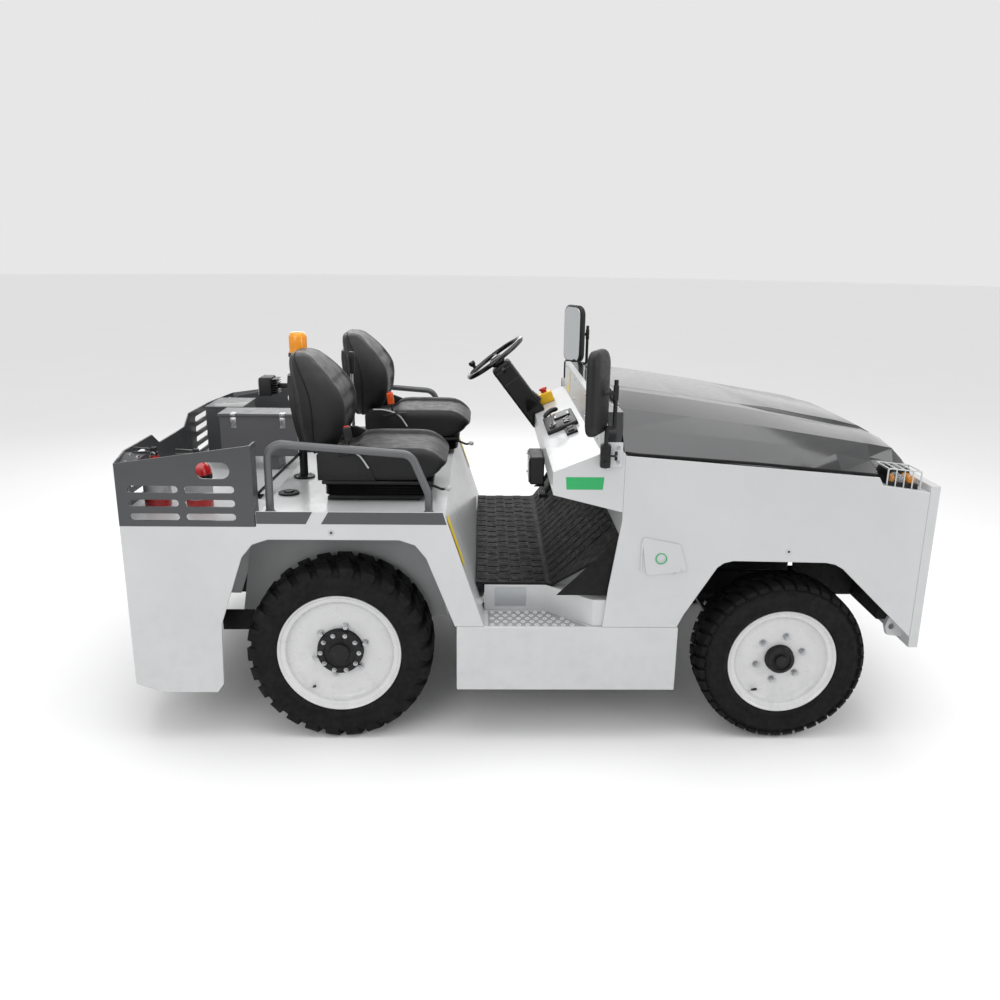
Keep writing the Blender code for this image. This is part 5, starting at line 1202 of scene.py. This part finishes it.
made("steeringSpokes", steeringSpokes, blackPlastic, "steering_wheel")
made("hornButton", lambda work: addLathe(work, [(0, 0.003), (0.023, 0.003), (0.022, 0.007), (0.012, 0.0095), (0, 0.010)], wheelPlace, 40), glossPlastic, "steering_wheel")
knob = wheelPlace @ Matrix.Rotation(math.radians(138), 4, "Z") @ Matrix.Translation((rimR, 0, 0.0))
made("spinnerKnob", lambda work: addLathe(work, [(0.0, 0.010), (0.010, 0.010), (0.010, 0.022), (0.014, 0.026), (0.0185, 0.034), (0.019, 0.044), (0.015, 0.052), (0, 0.0555)], knob, 32), glossPlastic, "steering_wheel")

dashLow, dashHigh, dashCentre = size("dashboard")
noseX, noseZ, topX, topZ = 0.180, 1.223, 0.3747, 1.304
tilt = math.atan2(topZ - noseZ, topX - noseX)
dashTurn = Matrix.Rotation(-tilt, 4, "Y")


def onDash(x, y, lift=0.0):
    return Matrix.Translation((x, y, noseZ + (x - noseX) * math.tan(tilt))) @ dashTurn @ Matrix.Translation((0, 0, lift))


columnLow, columnHigh, columnCentre = size("steering_column")
columnFoot = Vector((0.165, hubPlace.y, 1.262))


def columnBoot(work):
    axis = (hubPlace - columnFoot).normalized()
    rows = []
    for i in range(13):
        rows.append((0.070 - 0.0012 * i + (0.006 if i % 2 else 0), 0.006 + 0.0055 * i))
    rows = [(0, 0.002)] + rows + [(0, 0.072)]
    addLathe(work, rows, placed(columnFoot - axis * 0.010, axis) @ Matrix.Diagonal((0.9, 1.0, 1.0, 1.0)), 40)


def columnTrim(work):
    axis = steerAxis
    side = Vector((0, 1, 0))
    for along in (0.075, 0.150):
        spot = hubPlace - axis * along
        addBlock(work, (0.114, 0.1225, 0.003), Matrix.Translation(spot) @ turnTo(axis), 0.001, 1)
    for sign in (1, -1):
        base = hubPlace - axis * 0.085 + side * 0.060 * sign
        tip = base + side * 0.105 * sign + Vector((-0.010, 0, 0.030))
        addTube(work, smoothPath([base, (base + tip) / 2 + Vector((0, 0, 0.006)), tip], 6), lambda s: 0.0055 + (0.003 if s > 0.72 else 0), 12)


made("columnBoot", columnBoot, sealRubber)
made("columnTrim", columnTrim, glossPlastic)

consoleLow, consoleHigh, consoleCentre = size("switch_console")


def console(work):
    place = onDash(0.279, -0.06, 0.0102)
    addBlock(work, (0.155, 0.34, 0.0195), place, 0.006, 3)


made("switchConsole", console, blackPlastic, "chassis", "black_plastic", ["switch_console"])


def consoleParts(work):
    place = onDash(0.279, -0.06, 0.020)
    addBlock(work, (0.082, 0.120, 0.010), place @ Matrix.Translation((0.018, 0.075, 0.004)), 0.004, 3)
    for i in range(4):
        addBlock(work, (0.034, 0.022, 0.007), place @ Matrix.Translation((0.030, -0.035 - i * 0.029, 0.003)) @ Matrix.Rotation(0.14 if i % 2 else -0.14, 4, "Y"), 0.0025, 2)
    addLathe(work, [(0, 0), (0.014, 0), (0.014, 0.004), (0.010, 0.010), (0, 0.011)], place @ Matrix.Translation((-0.046, -0.120, 0)), 28)
    addBlock(work, (0.006, 0.018, 0.014), place @ Matrix.Translation((-0.046, -0.120, 0.012)), 0.002, 2)


made("consoleSwitches", consoleParts, glossPlastic)
displayGlass, displayTree, displayShader, displayPlace = newMaterial("dark display glass", Roughness=0.08, Coat_Weight=0.6, Coat_Roughness=0.03)
displayTree.links.new(tinted(displayTree, between(displayTree, noise(displayTree, displayPlace, 30), 0.0, 1.0), "#3C4A45", "#2F3A37"), displayShader.inputs["Base Color"])
made("consoleDisplay", lambda work: addBlock(work, (0.056, 0.092, 0.0012), onDash(0.279, -0.06, 0.0295) @ Matrix.Translation((0.018, 0.075, 0)), 0.0005, 1), displayGlass)


def driveLever(work):
    place = onDash(0.245, -0.125, 0.020)
    addLathe(work, [(0, 0), (0.020, 0), (0.020, 0.003), (0.012, 0.010), (0.007, 0.013), (0, 0.013)], place, 28)
    line = [place @ Vector(p) for p in ((0, 0, 0.010), (0.0, 0.0, 0.034), (0.006, 0.004, 0.052))]
    addTube(work, smoothPath(line, 5), 0.0042, 10)


made("driveLeverStem", driveLever, zincSteel)
gripLine = [onDash(0.245, -0.125, 0.020) @ Vector(p) for p in ((-0.030, -0.038, 0.056), (-0.004, -0.012, 0.066), (0.022, 0.014, 0.066), (0.048, 0.036, 0.056))]
made("driveLeverGrip", lambda work: addTube(work, smoothPath(gripLine, 6), lambda s: 0.0135 * (1 - (2 * s - 1) ** 6) + 0.002, 16, 0.75), blackPlastic, smoothAngle=60)
made("dashSideBox", lambda work: (addBlock(work, (0.055, 0.125, 0.012), onDash(0.3075, -0.3225, 0.0062), 0.003, 2),
                                  addBlock(work, (0.030, 0.040, 0.010), onDash(0.3075, -0.350, 0.014), 0.003, 2),
                                  addBlock(work, (0.030, 0.040, 0.010), onDash(0.3075, -0.295, 0.014), 0.003, 2)), blackPlastic)

stopLow, stopHigh, stopCentre = size("emergency_stop")


def stopBox(work):
    addBlock(work, (0.080, 0.080, 0.0595), onDash(0.262, 0.60, 0.0300), 0.006, 3)


made("stopBox", stopBox, yellowPlastic, "chassis", "yellow_plastic", ["emergency_stop"])
made("stopButton", lambda work: addLathe(work, [(0, 0), (0.016, 0), (0.016, 0.010), (0.0215, 0.013), (0.023, 0.019), (0.020, 0.026), (0.010, 0.0295), (0, 0.030)], onDash(0.262, 0.60, 0.0598), 40), redPlastic)
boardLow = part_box("cowl_top")[0]
boardRear = 0.375


def boardFilm(work):
    for low, high in (((0.500, 1.318), (0.560, 1.440)), ((0.560, 1.318), (0.680, 1.352))):
        addBox(work, (boardRear - 0.0012, low[0], low[1]), (boardRear - 0.0003, high[0], high[1]), 0.0003, 1)


made("boardFilm", boardFilm, yellowFilm)
heads("boardScrews", [((boardRear - 0.0002, y, z), (-1, 0, 0)) for y in (-0.74, -0.25, 0.25, 0.74) for z in (1.335, 1.440)], 0.0055, 0.004, zincSteel, "chassis", 12, 1.3)
relayLow, relayHigh, relayCentre = size("relay_box")
made("relayLid", lambda work: addBox(work, (relayLow.x - 0.006, relayLow.y + 0.008, relayLow.z + 0.008), (relayLow.x + 0.002, relayHigh.y - 0.008, relayHigh.z - 0.008), 0.003), glossPlastic)
heads("relayScrews", [((relayLow.x - 0.006, y, z), (-1, 0, 0)) for y in (relayLow.y + 0.02, relayHigh.y - 0.02) for z in (relayLow.z + 0.02, relayHigh.z - 0.02)], 0.0045, 0.003, zincSteel, "chassis", 12)

# rubber treads of the pedals
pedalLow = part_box("pedals")[0]
padTop = pedalLow.z + 0.020
treads = [((0.2125 + 0.010 * i, y, padTop + 0.0002), (0, 0, 1)) for y in (0.34, 0.58) for i in range(4)]
units("pedalTreads", treads, lambda work: addBlock(work, (0.0055, 0.082, 0.004), Matrix.Translation((0, 0, 0.002)), 0.0012, 1), matRubber)
print("controls made")


# ---- floor mat ----

dressed("floor_mat", "floorMat", matRubber, 0.0015)
matLow, matHigh, matCentre = size("floor_mat")
matTop = 0.676
toeX = 0.196
ribs, toeRibs = [], []
for row in range(16):
    y = -0.655 + row * 0.0873
    for column in range(6):
        x = -0.105 + column * 0.051
        if x < toeX - 0.030:
            ribs.append(((x, y + (0.0 if column % 2 else 0.018), matTop + 0.0002), (0, 0, 1)))
slopeX, slopeTop = 0.4693, 0.942
slopeWay = Vector((-(slopeTop - matTop), 0, slopeX - toeX)).normalized()
for row in range(16):
    y = -0.655 + row * 0.0873
    for column in range(7):
        t = (column + 0.6) / 7.3
        toeRibs.append(((toeX + (slopeX - toeX) * t - 0.0002, y, matTop + (slopeTop - matTop) * t + 0.0002), tuple(slopeWay)))


def matPad(work):
    addBlock(work, (0.044, 0.068, 0.0030), Matrix.Translation((0, 0, 0.0012)), 0.0012, 1)
    for i in (-1, 1):
        addBlock(work, (0.034, 0.004, 0.0012), Matrix.Translation((0, i * 0.016, 0.0030)), 0.0004, 1)


units("matPads", ribs, matPad, matRubber)
units("toePads", toeRibs, matPad, matRubber)


def toeSides(work):
    outline = [(toeX + 0.014, matTop + 0.010), (slopeX - 0.002, matTop + 0.010), (slopeX - 0.002, slopeTop)]
    for sign in (1, -1):
        y = sorted((sign * (matHigh.y - 0.003), sign * (matHigh.y + 0.004)))
        addPrism(work, outline, y[0], y[1], "XZ", 0.001)


made("toeSides", toeSides, matRubber)
print("mat made:", len(ribs) + len(toeRibs), "ribs")


# ---- mirrors ----

mirrorStyle = {"width": 0.19, "height": 0.335, "thick": 0.045, "turn": 26.0, "corner": 0.052}


def roundedOutline(width, height, corner, steps=10, pinch=0.0):
    outline = []
    for cx, cy, start in ((1, 1, 0), (-1, 1, 90), (-1, -1, 180), (1, -1, 270)):
        for i in range(steps + 1):
            t = math.radians(start + 90 * i / steps)
            x = cx * (width / 2 - corner) + corner * math.cos(t)
            z = cy * (height / 2 - corner) + corner * math.sin(t)
            outline.append((x * (1 - pinch * (z / height + 0.5)), z))
    return outline


def makeMirror(sideName, sign, centre, armX):
    node = f"{sideName}_mirror"
    place = Matrix.Translation(centre) @ Matrix.Rotation(sign * math.radians(mirrorStyle["turn"]), 4, "Z")
    width, height, thick = mirrorStyle["width"], mirrorStyle["height"], mirrorStyle["thick"]
    outline = roundedOutline(width, height, mirrorStyle["corner"])

    def shell(work):
        loops = []
        for depth, share in ((-0.50, 0.900), (-0.48, 0.955), (-0.38, 0.995), (-0.15, 1.0), (0.05, 0.985), (0.25, 0.93), (0.40, 0.82), (0.48, 0.66), (0.50, 0.45)):
            loops.append([place @ Vector((depth * thick, a * (1 - (1 - share) * 1.0), b * (1 - (1 - share) * 0.62))) for a, b in outline])
        addLoft(work, loops)
    made(f"{sideName}MirrorShell", shell, blackPlastic, "chassis", "black_paint", [node], 50)

    def glass(work):
        loops = [[place @ Vector((x, a * share, b * (1 - (1 - share) * 0.62))) for a, b in outline] for x, share in ((-0.5 * thick - 0.0003, 0.89), (-0.5 * thick - 0.0022, 0.885))]
        addLoft(work, loops)
    made(f"{sideName}MirrorGlass", glass, mirrorGlass)

    y = sign * (halfWidth + 0.030)
    rodX = 0.385
    crank = 1.425 + (0.025 if sign > 0 else 0.0)

    def arm(work):
        top = centre.z + 0.050
        addTube(work, roundPath([(rodX, y, 1.250), (rodX, y, crank), (armX, y, crank - 0.02), (armX, y, top)], 0.012, 6), 0.0085, 16)
        addBlock(work, (0.020, 0.022, 0.060), Matrix.Translation((armX, y, centre.z)), 0.004)
        addTube(work, smoothPath([(armX, y, centre.z), (armX - 0.025, y + sign * 0.008, centre.z), (centre.x + 0.018, centre.y, centre.z)], 5), 0.009, 14)
    made(f"{sideName}MirrorArm", arm, blackCoat, smoothAngle=50)

    def clampBlock(work):
        inner = sign * (halfWidth + 0.0062)
        addBox(work, (rodX - 0.020, min(inner, y + sign * 0.014), 1.252), (rodX + 0.020, max(inner, y + sign * 0.014), 1.346), 0.005, 3)
        for z in (1.272, 1.326):
            addLathe(work, [(0, 0), (0.010, 0), (0.010, 0.006), (0, 0.007)], placed((rodX, y + sign * 0.0138, z), (0, sign, 0)), 20)
    made(f"{sideName}MirrorClamp", clampBlock, blackPlastic)

    def wing(work):
        base = Vector((rodX + 0.012, y, 1.300))
        addTube(work, [base, base + Vector((0.028, 0, 0))], 0.0045, 10)
        for side in (1, -1):
            addBlock(work, (0.012, 0.004, 0.018), Matrix.Translation(base + Vector((0.030, 0, side * 0.010))), 0.0018, 2)
    made(f"{sideName}WingNut", wing, blackPlastic)
    plateY = sorted((sign * (halfWidth + 0.0003), sign * (halfWidth + 0.0055)))
    made(f"{sideName}MirrorPlate", lambda work: addBox(work, (0.366, plateY[0], 1.2465), (0.4585, plateY[1], 1.3500), 0.002), whiteEnamel)
    heads(f"{sideName}PlateScrews", [((0.440, sign * (halfWidth + 0.0055), z), (0, sign, 0)) for z in (1.268, 1.328)], 0.0065, 0.005, zincSteel)


nearLow, nearHigh, nearCentre = size("right_mirror")
farLow, farHigh, farCentre = size("left_mirror")
makeMirror("right", -1, Vector((0.345, -(halfWidth + 0.050), 1.555)), 0.415)
makeMirror("left", 1, Vector((0.440, halfWidth + 0.050, 1.605)), 0.510)
print("mirrors made")


# ---- headlights ----

for sideName, sign in (("left", 1), ("right", -1)):
    low, high, centre = size(f"{sideName}_headlight")
    slant = math.atan2(high.z - 0.055 - (high.z - 0.068), high.x - low.x)
    lampX = [low.x + 0.020, low.x + 0.064, low.x + 0.108]

    def housing(work):
        outline = [(low.x, low.z + 0.010), (high.x, low.z + 0.0004), (high.x, low.z + 0.022), (low.x, low.z + 0.032)]
        addPrism(work, outline, low.y, high.y, "XZ", 0.003)
        addBox(work, (low.x, low.y + 0.004, low.z + 0.028), (low.x + 0.008, high.y - 0.004, high.z - 0.006), 0.002)
        wallY = sorted((centre.y - sign * 0.030, centre.y - sign * 0.026))
        addBox(work, (low.x + 0.006, wallY[0], low.z + 0.020), (high.x - 0.004, wallY[1], high.z - 0.016), 0.001)
    made(f"{sideName}LampHousing", housing, blackPlastic, "chassis", "lamp_glass", [f"{sideName}_headlight"])
    for i, (x, material) in enumerate(zip(lampX, (amberLamp, clearLens, amberLamp))):
        cup = [(0, 0.0), (0.0195, 0.0), (0.0195, 0.018), (0.018, 0.024), (0.013, 0.029), (0, 0.031)]
        for j, y in enumerate((centre.y - 0.024, centre.y + 0.024)):
            made(f"{sideName}Lamp{i}{j}", lambda work: addLathe(work, cup, placed((x, y, low.z + 0.030 - 0.010 * (x - low.x) / (high.x - low.x))), 32), material, "chassis", None, (), 35)

    def guard(work):
        top0, top1 = high.z + 0.004, high.z - 0.010
        y0, y1 = (centre.y - 0.060, centre.y + 0.060)
        base = low.z + 0.004
        for y in (y0, y1):
            addTube(work, roundPath([(low.x - 0.004, y, base + 0.010), (low.x - 0.004, y, top0), (high.x + 0.006, y, top1), (high.x + 0.006, y, base - 0.006)], 0.010, 5), 0.0032, 10)
        for i in range(5):
            t = i / 4
            x = low.x - 0.004 + (high.x - low.x + 0.010) * t
            z = top0 + (top1 - top0) * t
            addTube(work, [Vector((x, y0, z)), Vector((x, y1, z))], 0.0030, 10)
            for y in (y0, y1):
                if 0 < i < 4:
                    addTube(work, [Vector((x, y, z)), Vector((x, y, base + 0.008 - 0.012 * t))], 0.0028, 10)
    made(f"{sideName}LampGuard", guard, whiteEnamel, smoothAngle=50)
print("headlights made")
